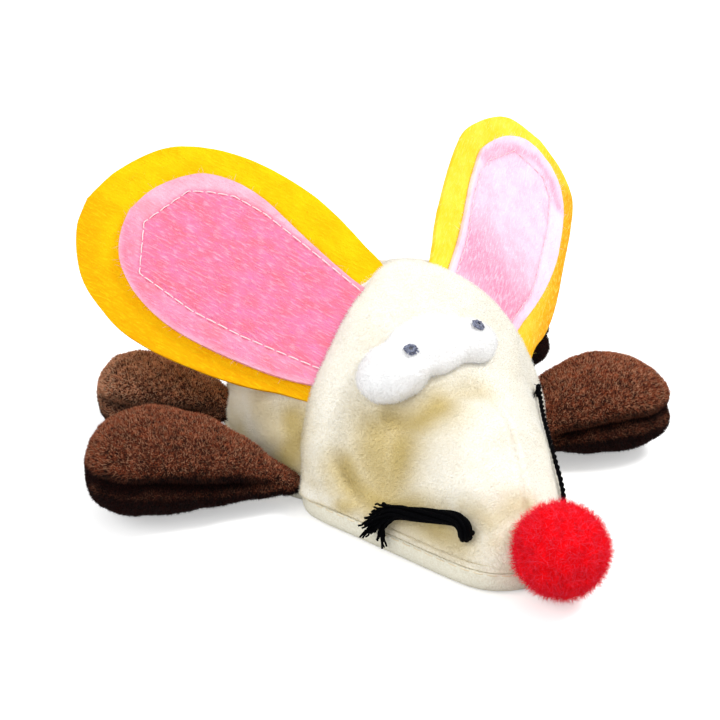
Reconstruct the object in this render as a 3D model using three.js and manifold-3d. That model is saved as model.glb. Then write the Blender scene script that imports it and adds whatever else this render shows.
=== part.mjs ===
// A stuffed toy mouse that shakes itself across the floor for a cat to chase.
// Velboa skins over a wad of fibre, felt ears, four stuffed paws, and a plastic
// capsule in the belly where a motor spins an eccentric weight.
// All lengths are in millimetres. The toy lies on its belly on Z = 0, its nose
// points along -Y, and +X is its own left. The origin is under the neck seam.

import * as THREE from 'three';
import { mergeVertices } from 'three/addons/utils/BufferGeometryUtils.js';
import Module from 'manifold-3d';

const wasm = await Module();
wasm.setup();

// Head, body and belly
const neckHalfWidth = 32.5;
const neckHeight = 46.5;
const headLength = 46;
// Along the body, the room before and behind the capsule
const neckRoom = 7;
const rumpRoom = 12;
const seamHeight = 5;
const hemInset = 3;
const velboaThickness = 1.6;
const gap = 0.3;
const stuffingClearance = 0.7;
const cutOverrun = 1;

// The neck seam leans back by this share of its height, and the lean dies away
// towards the snout and the rump.
const neckLeanShare = 0.37;
const leanPower = 1.2;
// How sharp the arch is: 1 is a half ellipse, 2 is a parabola. The neck's arch
// fades into that of the snout or the rump by the power given last.
const neckArchPower = 1.3;
const snoutArchPower = 2;
const rumpArchPower = 1;
const archFadePower = 4;
const fullGrowShare = 0.25;

// Each row: along the head or body, half width, rise above the seam.
const headShares = [
  [0, 0.965, 0.985],
  [0.09, 1, 0.935],
  [0.2, 0.955, 0.815],
  [0.32, 0.865, 0.66],
  [0.45, 0.77, 0.57],
  [0.58, 0.675, 0.505],
  [0.7, 0.59, 0.4],
  [0.8, 0.515, 0.32],
  [0.88, 0.445, 0.27],
  [0.94, 0.36, 0.23],
  [0.98, 0.235, 0.165],
  [1, 0, 0],
];
const bodyShares = [
  [0, 0.945, 0.95],
  [0.08, 1.02, 0.965],
  [0.2, 1.06, 0.935],
  [0.33, 1.07, 0.89],
  [0.46, 1.06, 0.825],
  [0.59, 1.02, 0.75],
  [0.7, 0.95, 0.665],
  [0.8, 0.85, 0.565],
  [0.88, 0.73, 0.445],
  [0.94, 0.57, 0.315],
  [0.98, 0.36, 0.165],
  [1, 0, 0],
];

// Ears: two layers of felt, held in the neck seam between these two angles
const feltThickness = 1.2;
const earLength = 67;
const earWidth = 46;
const innerEarLength = 58.5;
const innerEarWidth = 32.8;
const earTuck = 3;
const earClearance = 0.75;
const earHingeInset = 1;
const earForwardDegrees = 15;
const earBackDegrees = 6;
const earRootLowDegrees = 32;
const earRootHighDegrees = 79.5;
const earDirectionShares = [0.609, 0.732, 0.306];
// Each ear is sewn a little askew: how far its outline slips up the seam.
const earPlaces = [
  { word: 'left', side: 1, slip: -1.2 },
  { word: 'right', side: -1, slip: 0.9 },
];
const earOutlineShares = [
  [0, 0.39],
  [0.15, 0.44],
  [0.35, 0.49],
  [0.56, 0.49],
  [0.73, 0.44],
  [0.865, 0.335],
  [0.965, 0.12],
  [1, -0.07],
  [0.975, -0.21],
  [0.865, -0.39],
  [0.73, -0.48],
  [0.56, -0.53],
  [0.35, -0.52],
  [0.15, -0.49],
  [0, -0.39],
];
const innerEarOutlineShares = [
  [0, 0.32],
  [0.25, 0.38],
  [0.51, 0.45],
  [0.7, 0.44],
  [0.86, 0.345],
  [0.965, 0.13],
  [1, -0.09],
  [0.965, -0.28],
  [0.86, -0.43],
  [0.7, -0.52],
  [0.51, -0.545],
  [0.25, -0.52],
  [0, -0.4],
];

// Face
const noseRadius = 10;
const noseProud = 3.5;
const noseHeight = 11.5;
const lobeProud = 3.8;
const browProud = 2.4;
const lobeSink = 2;
const rightLobeRadius = 10.5;
const leftLobeRadius = 9;
const browLobeRadius = 11;
// Where each lobe and pupil lies: along the head, and its angle over the arch.
const lobePlaces = [
  { radius: rightLobeRadius, proud: lobeProud, placeShare: 0.25, degrees: 106 },
  { radius: leftLobeRadius, proud: lobeProud, placeShare: 0.235, degrees: 77 },
  { radius: browLobeRadius, proud: browProud, placeShare: 0.19, degrees: 93 },
];
const pupilRadius = 1.5;
const pupilHeight = 0.8;
const pupilPlaces = [
  { name: 'pupil_right', placeShare: 0.235, degrees: 106 },
  { name: 'pupil_left', placeShare: 0.215, degrees: 79 },
];
const whiskerThickness = 2.6;
// Each whisker leaves the cheek beside the nose, lies back along the cheek and
// ends in the air, as bent yarn does. Points from the cheek to the free end.
const whiskerRightRoute = [
  [-14.9, -39.5, 8.6],
  [-14.8, -38.3, 10.7],
  [-14.7, -36.4, 12.3],
  [-15.4, -34.3, 13],
  [-16.9, -32, 12.8],
  [-18.8, -29.3, 12.1],
  [-20.7, -26.7, 11.3],
  [-22.6, -23.9, 10.5],
  [-24.5, -21.8, 9.2],
  [-26, -21, 7.4],
  [-27.1, -21.2, 5.4],
  [-27.8, -21.9, 3.6],
];
const whiskerLeftRoute = [
  [11.6, -39.6, 13.4],
  [10.6, -38.5, 15.6],
  [11.2, -36, 17],
  [13.2, -30.8, 18.4],
  [15.8, -25.9, 18.7],
  [18.5, -20.4, 18.9],
  [21.2, -14.9, 19],
  [22.8, -11.4, 19.6],
  [24.4, -7.8, 21],
  [25.2, -5.4, 22.8],
];

// Paws: fore and rear. Each is turned back from straight out sideways, and some
// of its narrow root is tucked under the body.
const forePawLength = 46;
const forePawWidth = 30;
const forePawThickness = 21;
const rearPawLength = 38;
const rearPawWidth = 24;
const rearPawThickness = 17;
const pawFloorClearance = 0.8;
const pawRootRise = 0.2;
const pawClearance = 0.6;
const forePawPlace = 1;
const rearPawPlaceShare = 0.644;
const pawLiftDegrees = 15;
const pawPlaces = [
  { name: 'paw_fore_right', side: -1, fore: true, turnDegrees: 30, tuckShare: 0 },
  { name: 'paw_fore_left', side: 1, fore: true, turnDegrees: 4, tuckShare: 0.36 },
  { name: 'paw_rear_right', side: -1, fore: false, turnDegrees: 31, tuckShare: 0.2 },
  { name: 'paw_rear_left', side: 1, fore: false, turnDegrees: 14, tuckShare: 0.36 },
];

// Each row: along the paw, half width, half thickness, climb of its middle.
const pawShares = [
  [0, 0.1, 0.12, 0],
  [0.07, 0.22, 0.24, 0.15],
  [0.2, 0.43, 0.45, 0.45],
  [0.36, 0.68, 0.7, 0.75],
  [0.53, 0.89, 0.9, 0.95],
  [0.69, 1, 1, 1],
  [0.82, 0.95, 0.96, 1],
  [0.92, 0.76, 0.78, 1],
  [0.98, 0.45, 0.48, 1],
];

// Capsule: a two-part plastic case that shows in an opening of the belly
const caseRecess = 0.9;
const caseWall = 1.8;
const caseCorner = 4;
const caseSplitRise = 0.1;
const roofClearance = 0.4;
const flangeReach = 2.6;
const flangeThickness = 1.2;
const bossRadius = 2.25;
const bossInset = 1.9;
const caseScrewRadius = 1;
const screwHeadRadius = 1.8;
const screwHeadHeight = 0.9;
const screwHeadSink = 0.2;
const screwDriveDepth = 0.4;
const screwDriveWidth = 0.5;
const caseScrewLength = 10;

// Motor, shaft and weight, placed from the middle of the case
const motorRadius = 6;
const motorFlat = 10;
const motorLength = 15;
const motorSideClearance = 1.05;
const motorFront = -3;
const motorNoseRadius = 2.6;
const motorNoseLength = 1;
const motorCapRadius = 4.6;
const motorCapLength = 1;
const terminalWidth = 1.4;
const terminalThickness = 0.5;
const terminalLength = 1.6;
const terminalSpread = 5;
const shaftRadius = 1;
const shaftLength = 13;
const shaftSeat = 3;
const weightRadius = 6.2;
const weightHubRadius = 2.4;
const weightLength = 6;
const weightFloorClearance = 0.6;
const weightShaftInset = 1.5;
const cradleThickness = 2;
const cradleReach = 0.7;
const cradleInset = 2.5;

// Cells, their contacts and the door under them
const cellRadius = 5.8;
const cellThickness = 5.4;
const cellStepRadius = 4.9;
const cellStepHeight = 0.5;
const cellCount = 3;
const cellSideClearance = 0.85;
const cellWallClearance = 1.9;
const cellFloorClearance = 0.6;
const contactThickness = 0.4;
const contactWidth = 8;
const contactHeight = 8;
const contactWallThickness = 0.8;
const springLength = 2.4;
const springWireRadius = 0.3;
const springBaseRadius = 3.6;
const springTipRadius = 1.6;
const springTurns = 3;
const doorWidth = 12.6;
const doorFrontInset = 1.1;
const doorLip = 0.8;
const doorPlateThickness = 0.8;
const doorScrewInset = 2.4;
const doorScrewReach = 3.1;
const doorScrewRadius = 0.8;
const doorScrewHeadRadius = 1.5;
const doorScrewHeadHeight = 0.5;
const doorScrewLength = 5;
const doorBossRadius = 2;
const doorBossHeight = 5;

// Slide switch
const switchLength = 8;
const switchWidth = 3.6;
const switchHeight = 4;
const switchWall = 0.6;
const switchClearance = 0.4;
const sliderLength = 3;
const sliderWidth = 1.8;
const sliderHeight = 2;
const knobLength = 2.6;
const knobWidth = 1.4;
const knobProud = 0.4;
const switchTravel = 3;

// Leads: how far each runs straight before it bends, and where it passes
const leadRadius = 0.4;
const leadStub = 1.2;
const leadPlaceX = 0.45;
const leadHeight = 3.6;
const leadTop = 13.2;
const leadEndClearance = 0.9;

// Places of the motor and cells, and the case round them. Inside the case, X and
// Y run from its middle and Z from its underside.
const motorPlaceX = leadPlaceX - leadRadius - motorSideClearance - motorRadius;
const motorHeight = caseWall + weightFloorClearance + weightRadius;
const motorBack = motorFront + motorLength;
const terminalTip = motorBack + gap + motorCapLength + terminalLength;
const cellPlaceX = leadPlaceX + leadRadius + cellSideClearance + cellRadius;
const cellHeight = caseWall + cellFloorClearance + cellRadius;
const insideWidth = (cellPlaceX + cellRadius + cellWallClearance) * 2;
const insideLength = (terminalTip + leadStub * 2 + leadEndClearance) * 2;
const caseWidth = insideWidth + caseWall * 2;
const caseLength = insideLength + caseWall * 2;
const contentHeight = Math.max(motorHeight + weightRadius, cellHeight + cellRadius);
const caseHeight = contentHeight + roofClearance + caseWall;
const lowerCaseHeight = motorHeight + caseSplitRise;

// Places along the toy, and the length of its body round the case
const casePlace = neckRoom + caseLength / 2;
const bodyLength = neckRoom + caseLength + rumpRoom;
const rearPawPlace = bodyLength * rearPawPlaceShare;
const pawRootHeight = seamHeight + pawRootRise;

// Counts of facets
const archFacets = 18;
const formStations = 14;
const stuffingFacets = 16;
const stuffingStations = 11;
const hemFacets = 3;
const pawFacets = 12;
const roundFacets = 20;
const smallRoundFacets = 10;
const ballFacets = 20;
const ballRows = 12;
const lobeFacets = 16;
const lobeRows = 10;
const tubeFacets = 8;
const springSteps = 8;
const springFacets = 5;
const whiskerSteps = 16;
const leadSteps = 14;
const leadFacets = 6;
const outlineFacets = 3;
// The step, along and around a form, over which its slope is measured
const slopeStep = 0.01;

// Materials
function finish(color, roughness, metalness = 0) {
  return new THREE.MeshStandardMaterial({ color, roughness, metalness });
}
const materials = {
  velboa: finish(0xf0e9d3, 0.95),
  bellyVelboa: finish(0xdfd5ba, 0.95),
  fibre: finish(0xf7f7f4, 1),
  yellowFelt: finish(0xfcc81a, 0.95),
  pinkFelt: finish(0xf7a0c4, 0.95),
  fleece: finish(0xfcfcfc, 1),
  embroidery: finish(0x5b6476, 0.8),
  redPompom: finish(0xf01228, 0.95),
  blackYarn: finish(0x0a0a0c, 0.9),
  brownVelour: finish(0x5c3322, 0.95),
  casePlastic: finish(0xdcdfe2, 0.45),
  steel: finish(0xb9bcc0, 0.3, 1),
  brass: finish(0xc9a24b, 0.35, 1),
  cellSteel: finish(0xc6c9cc, 0.25, 1),
  blackPlastic: finish(0x17181a, 0.5),
  redLead: finish(0xc2161c, 0.5),
  blackLead: finish(0x141416, 0.5),
};

const toy = new THREE.Group();

function addMesh(name, geometry, material, parent = toy) {
  const mesh = new THREE.Mesh(geometry, material);
  mesh.name = name;
  parent.add(mesh);
  return mesh;
}

// Solids to cut and join, made from closed meshes and turned back into them.
function toSolid(geometry) {
  const bare = geometry.clone();
  bare.deleteAttribute('normal');
  bare.deleteAttribute('uv');
  const merged = mergeVertices(bare);
  const corners = merged.index.array;
  const faces = [];
  for (let i = 0; i < corners.length; i += 3) {
    const [a, b, c] = corners.slice(i, i + 3);
    if (a !== b && b !== c && c !== a) {
      faces.push(a, b, c);
    }
  }
  const mesh = new wasm.Mesh({
    numProp: 3,
    vertProperties: new Float32Array(merged.attributes.position.array),
    triVerts: new Uint32Array(faces),
  });
  return new wasm.Manifold(mesh);
}

function toGeometry(solid) {
  const mesh = solid.getMesh();
  const geometry = new THREE.BufferGeometry();
  geometry.setAttribute('position', new THREE.BufferAttribute(mesh.vertProperties, 3));
  geometry.setIndex(new THREE.BufferAttribute(mesh.triVerts, 1));
  geometry.computeVertexNormals();
  return geometry;
}

function cut(solid, ...tools) {
  return tools.reduce((rest, tool) => rest.subtract(tool), solid);
}

function join(...solids) {
  return solids.reduce((whole, solid) => whole.add(solid));
}

// Plain shapes, each moved to its place. A box stands on its lower face.
function box(width, length, height, x = 0, y = 0, z = 0) {
  const geometry = new THREE.BoxGeometry(width, length, height);
  return geometry.translate(x, y, z + height / 2);
}

function standing(radius, height, x = 0, y = 0, z = 0, facets = smallRoundFacets) {
  const geometry = new THREE.CylinderGeometry(radius, radius, height, facets);
  geometry.rotateX(Math.PI / 2);
  return geometry.translate(x, y, z + height / 2);
}

// A cylinder along Y, from y to y + length.
function lying(radius, length, x, y, z, facets = roundFacets) {
  const geometry = new THREE.CylinderGeometry(radius, radius, length, facets);
  return geometry.translate(x, y + length / 2, z);
}

function roundedPlate(width, length, corner, height, y, z) {
  const shape = new THREE.Shape();
  const right = width / 2;
  const back = length / 2;
  shape.moveTo(-right + corner, -back);
  shape.lineTo(right - corner, -back);
  shape.absarc(right - corner, -back + corner, corner, -Math.PI / 2, 0);
  shape.lineTo(right, back - corner);
  shape.absarc(right - corner, back - corner, corner, 0, Math.PI / 2);
  shape.lineTo(-right + corner, back);
  shape.absarc(-right + corner, back - corner, corner, Math.PI / 2, Math.PI);
  shape.lineTo(-right, -back + corner);
  shape.absarc(-right + corner, -back + corner, corner, Math.PI, Math.PI * 1.5);
  const options = { depth: height, bevelEnabled: false, curveSegments: outlineFacets };
  return new THREE.ExtrudeGeometry(shape, options).translate(0, y, z);
}

// Faces from ring to ring, over rings that all have the same number of points.
function sideFaces(rings) {
  const count = rings[0].length;
  const faces = [];
  for (let row = 0; row + 1 < rings.length; row += 1) {
    for (let i = 0; i < count; i += 1) {
      const a = row * count + i;
      const b = row * count + ((i + 1) % count);
      faces.push(a, b, b + count, a, b + count, a + count);
    }
  }
  return faces;
}

function indexedGeometry(points, faces) {
  const geometry = new THREE.BufferGeometry().setFromPoints(points);
  geometry.setIndex(faces);
  return geometry;
}

// A closed solid over a row of rings, with a fan of faces at each end.
function loft(rings) {
  const count = rings[0].length;
  const points = rings.flat();
  const faces = sideFaces(rings);
  for (const row of [0, rings.length - 1]) {
    const centre = new THREE.Vector3();
    rings[row].forEach((point) => centre.addScaledVector(point, 1 / count));
    points.push(centre);
    for (let i = 0; i < count; i += 1) {
      const a = row * count + i;
      const b = row * count + ((i + 1) % count);
      faces.push(...(row ? [points.length - 1, a, b] : [points.length - 1, b, a]));
    }
  }
  return indexedGeometry(points, faces);
}

// Head and body are arched forms. A point of one is given by its station from
// neck to end, its angle over the arch from the left seam, and an offset.
function makeForm(direction, length, shares, endPower) {
  const rows = shares.map((row) => new THREE.Vector3(...row));
  const curve = new THREE.CatmullRomCurve3(rows, false, 'centripetal');
  return { direction, length, endPower, curve };
}

const head = makeForm(-1, headLength, headShares, snoutArchPower);
const body = makeForm(1, bodyLength, bodyShares, rumpArchPower);
const rise = neckHeight - seamHeight;

function formPoint(form, station, angle, offset = 0, base = seamHeight + gap / 2) {
  const { x: along, y: widthShare, z: riseShare } = form.curve.getPoint(station);
  const growth = offset * Math.min(1, Math.max(0, widthShare) / fullGrowShare);
  const halfWidth = Math.max(0, widthShare) * neckHalfWidth + growth;
  const height = Math.max(0, riseShare) * rise + growth;
  const power = form.endPower + (neckArchPower - form.endPower) * (1 - along) ** archFadePower;
  const z = base + height * Math.sin(angle) ** power;
  const lean = neckLeanShare * Math.max(0, 1 - along) ** leanPower;
  const y = form.direction * (along * (form.length + offset) + gap / 2) + lean * z;
  return new THREE.Vector3(halfWidth * Math.cos(angle), y, z);
}

function formNormal(form, station, angle) {
  const here = formPoint(form, station, angle);
  const along = formPoint(form, station + slopeStep, angle).sub(here);
  const across = formPoint(form, station, angle + slopeStep).sub(here);
  return along.cross(across).multiplyScalar(form.direction).normalize();
}

function arch(form, station, offset, facets, base) {
  const points = [];
  for (let i = 0; i <= facets; i += 1) {
    const angle = i === facets ? Math.PI : (Math.PI * i) / facets;
    points.push(formPoint(form, station, angle, offset, base));
  }
  return points;
}

function stations(form, count) {
  const list = Array.from({ length: count }, (_, i) => i / (count - 1));
  return form.direction > 0 ? list : list.reverse();
}

// A skin: an arch outside, the same arch inside, open below and at the neck.
// Its neck is closed across its thickness, and its other end is a single point.
function skinGeometry(form) {
  const rings = stations(form, formStations).map((station) => {
    const outside = arch(form, station, 0, archFacets);
    const inside = arch(form, station, -velboaThickness, archFacets);
    return [...outside, ...inside.reverse()].reverse();
  });
  const count = rings[0].length;
  const faces = sideFaces(rings);
  const neckRow = form.direction > 0 ? 0 : rings.length - 1;
  for (let i = 0; i < archFacets; i += 1) {
    const a = neckRow * count + i;
    const b = a + 1;
    const c = neckRow * count + count - 1 - i;
    const d = c - 1;
    faces.push(...(neckRow ? [a, b, d, a, d, c] : [a, d, b, a, c, d]));
  }
  return indexedGeometry(rings.flat(), faces);
}

// The whole volume of a form, for stuffing and for cuts. Below the seam its
// sides run down to the floor given, and in by the inset given.
function formSolid(form, offset, facets, count, floor, inset = 0) {
  const rings = stations(form, count).map((station) => {
    const points = arch(form, station, offset, facets);
    const corner = formPoint(form, station, 0, offset - inset, floor);
    points.push(new THREE.Vector3(-corner.x, corner.y, floor));
    points.push(corner);
    return points.reverse();
  });
  return toSolid(loft(rings));
}

// A cutter holds both forms, and its head reaches back over the slit between them.
function cutter(clearance) {
  const [front, back] = [head, body].map((form) => {
    return formSolid(form, clearance, archFacets, formStations, -cutOverrun);
  });
  return join(front, front.translate([0, gap * 2, 0]), back);
}

const skinCutter = cutter(gap);

// What swings is cut by the toy at each of some turns about its hinge, so that
// it clears the toy when it swings the other way by as much.
const radians = THREE.MathUtils.degToRad;

function cutThrough(solid, tool, hinge, axis, turns) {
  const there = new THREE.Matrix4().makeTranslation(hinge.x, hinge.y, hinge.z);
  const back = there.clone().invert();
  const tools = turns.map((degrees) => {
    const swing = new THREE.Matrix4().makeRotationAxis(axis, radians(degrees));
    return tool.transform(there.clone().multiply(swing).multiply(back).elements);
  });
  return cut(solid, ...tools);
}

addMesh('head_skin', toGeometry(toSolid(skinGeometry(head))), materials.velboa);
addMesh('body_skin', toGeometry(toSolid(skinGeometry(body))), materials.velboa);

// The belly panel is a shallow tray: flat below, turned up to meet the skins.
function bellyRing(inset, z) {
  const left = [];
  for (const station of stations(head, formStations)) {
    left.push(formPoint(head, station, 0, -inset, z));
  }
  for (const station of stations(body, formStations)) {
    left.push(formPoint(body, station, 0, -inset, z));
  }
  const inner = left.slice(1, -1);
  const right = inner.map((point) => new THREE.Vector3(-point.x, point.y, point.z)).reverse();
  return [...left, ...right];
}

function bellyPanel() {
  const rim = seamHeight - gap / 2;
  const turn = (Math.PI / 2) / hemFacets;
  const outside = [];
  const inside = [];
  for (let i = 0; i <= hemFacets; i += 1) {
    const inset = hemInset * (1 - Math.cos(i * turn));
    const drop = Math.sin(i * turn);
    outside.push(bellyRing(inset, rim * (1 - drop)));
    inside.push(bellyRing(inset + velboaThickness, rim + (velboaThickness - rim) * drop));
  }
  const tray = toSolid(loft([...inside.reverse(), ...outside].reverse()));
  const opening = roundedPlate(
    caseWidth + gap * 2, caseLength + gap * 2, caseCorner + gap,
    velboaThickness + cutOverrun * 2, casePlace, -cutOverrun,
  );
  return cut(tray, toSolid(opening));
}

addMesh('belly_panel', toGeometry(bellyPanel()), materials.bellyVelboa);

// Stuffing fills head and body, and leaves a pocket for the capsule.
const caseBottom = caseRecess;
const flangeBottom = velboaThickness + gap;

function stuffing(form) {
  const inside = velboaThickness + stuffingClearance;
  return formSolid(form, -inside, stuffingFacets, stuffingStations, inside, hemInset);
}

function bodyStuffing() {
  const pocket = roundedPlate(
    caseWidth + gap * 2, caseLength + gap * 2, caseCorner + gap,
    caseHeight + gap, casePlace, caseBottom,
  );
  const shelf = roundedPlate(
    caseWidth + (flangeReach + gap) * 2, caseLength + (flangeReach + gap) * 2,
    caseCorner + flangeReach + gap, flangeThickness + gap * 2, casePlace, flangeBottom - gap,
  );
  return cut(stuffing(body), toSolid(pocket), toSolid(shelf));
}

addMesh('head_stuffing', toGeometry(stuffing(head)), materials.fibre);
addMesh('body_stuffing', toGeometry(bodyStuffing()), materials.fibre);

// Ears: flat felt outlines laid on the plane through their root in the seam.
// Each swings forward and back about a line beside its root.
const earCutter = cutter(earClearance);

function earPlane(side) {
  const low = formPoint(head, 0, radians(earRootLowDegrees));
  const high = formPoint(head, 0, radians(earRootHighDegrees));
  const across = high.clone().sub(low).normalize();
  const out = new THREE.Vector3(...earDirectionShares);
  out.addScaledVector(across, -out.dot(across)).normalize();
  const root = low.add(high).multiplyScalar(1 / 2);
  for (const vector of [across, out, root]) {
    vector.x *= side;
  }
  const up = across.multiplyScalar(side);
  const face = out.clone().cross(up);
  return new THREE.Matrix4().makeBasis(out, up, face).setPosition(root);
}

function earLayer({ side, slip }, length, width, shares, bottom) {
  const points = shares.map(([along, across]) => {
    return new THREE.Vector2(along * length, (across * width + slip) * side);
  });
  const shape = new THREE.Shape();
  shape.moveTo(-earTuck, points[0].y);
  shape.lineTo(points[0].x, points[0].y);
  shape.splineThru(points.slice(1));
  shape.lineTo(-earTuck, points[points.length - 1].y);
  const options = { depth: feltThickness, bevelEnabled: false, curveSegments: outlineFacets };
  const geometry = new THREE.ExtrudeGeometry(shape, options);
  const plane = earPlane(side);
  geometry.translate(0, 0, bottom).applyMatrix4(plane);
  const hinge = new THREE.Vector3(earHingeInset, 0, 0).applyMatrix4(plane);
  const axis = new THREE.Vector3().setFromMatrixColumn(plane, 1);
  const turns = [0, earForwardDegrees / 2, earForwardDegrees, -earBackDegrees];
  return toGeometry(cutThrough(toSolid(geometry), earCutter, hinge, axis, turns));
}

for (const ear of earPlaces) {
  const back = earLayer(ear, earLength, earWidth, earOutlineShares, -feltThickness - gap / 2);
  addMesh(`ear_back_${ear.word}`, back, materials.yellowFelt);
  const inner = earLayer(ear, innerEarLength, innerEarWidth, innerEarOutlineShares, gap / 2);
  addMesh(`ear_inner_${ear.word}`, inner, materials.pinkFelt);
}

// Nose: a pom-pom that the tip of the snout presses into.
const noseBall = new THREE.SphereGeometry(noseRadius, ballFacets, ballRows);
noseBall.translate(0, -headLength - noseProud, noseHeight);
addMesh('nose_pompom', toGeometry(cut(toSolid(noseBall), skinCutter)), materials.redPompom);

// A place on the head, with the turn that stands a shape's Y axis out of it.
function headPlace({ placeShare, degrees }) {
  const normal = formNormal(head, placeShare, radians(degrees));
  const turn = new THREE.Quaternion().setFromUnitVectors(new THREE.Vector3(0, 1, 0), normal);
  return { point: formPoint(head, placeShare, radians(degrees)), normal, turn };
}

// The eye patch is three flattened lobes of fleece, sunk a little in the head.
function patchSolid(offset) {
  const lobes = lobePlaces.map((place) => {
    const { point, normal, turn } = headPlace(place);
    const centre = point.addScaledVector(normal, -lobeSink);
    const radius = place.radius + offset;
    const geometry = new THREE.SphereGeometry(1, lobeFacets, lobeRows);
    geometry.scale(radius, place.proud + lobeSink + offset, radius).applyQuaternion(turn);
    return toSolid(geometry.translate(centre.x, centre.y, centre.z));
  });
  return join(...lobes);
}

addMesh('eye_patch', toGeometry(cut(patchSolid(0), skinCutter)), materials.fleece);

const patchCutter = patchSolid(gap);

for (const place of pupilPlaces) {
  const { point, turn } = headPlace(place);
  const height = lobeProud + pupilHeight;
  const knot = new THREE.CylinderGeometry(pupilRadius, pupilRadius, height, smallRoundFacets);
  knot.translate(0, height / 2, 0).applyQuaternion(turn).translate(point.x, point.y, point.z);
  addMesh(place.name, toGeometry(cut(toSolid(knot), patchCutter)), materials.embroidery);
}

// Paws: teardrops with a narrow root. Each lifts about a line across its root,
// at the foot of the body, and its root is cut so that it clears the body then.
const pawCutter = cutter(pawClearance);

function pawHinge({ side, fore }) {
  const place = fore ? forePawPlace : rearPawPlace;
  const step = 1 / archFacets / formStations;
  let edge = formPoint(body, 0, 0);
  for (let station = step; edge.y < place; station += step) {
    edge = formPoint(body, station, 0);
  }
  return new THREE.Vector3(side * (edge.x + pawClearance), place, pawRootHeight);
}

function pawGeometry(paw) {
  const length = paw.fore ? forePawLength : rearPawLength;
  const halfWidth = (paw.fore ? forePawWidth : rearPawWidth) / 2;
  const halfThickness = (paw.fore ? forePawThickness : rearPawThickness) / 2;
  const climb = pawFloorClearance + halfThickness - pawRootHeight;
  const rings = pawShares.map(([along, widthShare, thicknessShare, climbShare]) => {
    return Array.from({ length: pawFacets }, (_, i) => {
      const angle = (i / pawFacets) * 2 * Math.PI;
      const y = halfWidth * widthShare * Math.cos(angle);
      const z = climb * climbShare + halfThickness * thicknessShare * Math.sin(angle);
      return new THREE.Vector3(length * (along - paw.tuckShare), y, z);
    });
  });
  const hinge = pawHinge(paw);
  const turn = paw.side > 0 ? radians(paw.turnDegrees) : Math.PI - radians(paw.turnDegrees);
  const geometry = loft(rings).rotateZ(turn).translate(hinge.x, hinge.y, hinge.z);
  const axis = new THREE.Vector3(0, 1, 0).applyAxisAngle(new THREE.Vector3(0, 0, 1), turn);
  const turns = [0, pawLiftDegrees / 2, pawLiftDegrees];
  return toGeometry(cutThrough(toSolid(geometry), pawCutter, hinge, axis, turns));
}

for (const paw of pawPlaces) {
  addMesh(paw.name, pawGeometry(paw), materials.brownVelour);
}

// Whiskers: bundles of yarn along their routes.
function tube(radius, points, steps, facets = tubeFacets) {
  const path = new THREE.CatmullRomCurve3(points.map((point) => new THREE.Vector3(...point)));
  const section = new THREE.Shape();
  section.absarc(0, 0, radius, 0, Math.PI * 2);
  const shape = new THREE.Shape(section.getSpacedPoints(facets).slice(0, facets));
  return new THREE.ExtrudeGeometry(shape, { steps, extrudePath: path, bevelEnabled: false });
}

const yarnRadius = whiskerThickness / 2;
const whiskers = { whisker_right: whiskerRightRoute, whisker_left: whiskerLeftRoute };
for (const [name, route] of Object.entries(whiskers)) {
  addMesh(name, tube(yarnRadius, route, whiskerSteps), materials.blackYarn);
}

// The capsule's own pieces are placed from the middle of its underside.
const capsule = new THREE.Group();
capsule.position.set(0, casePlace, caseBottom);
toy.add(capsule);

const insideCorner = caseCorner - caseWall;
const switchPlace = -insideLength / 2 + gap + switchWidth / 2;
const contactWallFront = switchPlace + switchWidth / 2 + switchClearance;
const frontPlateFront = contactWallFront + contactWallThickness + gap;
const cellFront = frontPlateFront + contactThickness + springLength + gap * 2;
const cellPitch = cellThickness + gap;
const cellBack = cellFront + cellPitch * cellCount - gap;
const backPlateFront = cellBack + gap;
const doorFront = cellFront - doorFrontInset;
const doorScrewPlace = cellBack + doorScrewReach;
const doorLength = doorScrewPlace + doorScrewInset - doorFront;

const corners = [[1, 1], [-1, 1], [-1, -1], [1, -1]].map(([x, y]) => {
  return [x * (insideWidth / 2 - bossInset), y * (insideLength / 2 - bossInset)];
});

function motorEnvelope(offset) {
  const can = toSolid(lying(motorRadius + offset, motorLength, motorPlaceX, motorFront, motorHeight));
  const flats = box(
    (motorRadius + offset) * 2, motorLength, motorFlat + offset * 2,
    motorPlaceX, motorFront + motorLength / 2, motorHeight - motorFlat / 2 - offset,
  );
  return can.intersect(toSolid(flats));
}

// Ribs across the case that hold the motor, from one height to another.
function cradle(bottom, top) {
  const width = (motorRadius + cradleReach) * 2;
  const ribs = [motorFront + cradleInset, motorBack - cradleInset].map((place) => {
    return toSolid(box(width, cradleThickness, top - bottom, motorPlaceX, place, bottom));
  });
  return cut(join(...ribs), motorEnvelope(gap));
}

function bosses(radius, bottom, top) {
  return join(...corners.map(([x, y]) => toSolid(standing(radius, top - bottom, x, y, bottom))));
}

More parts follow.
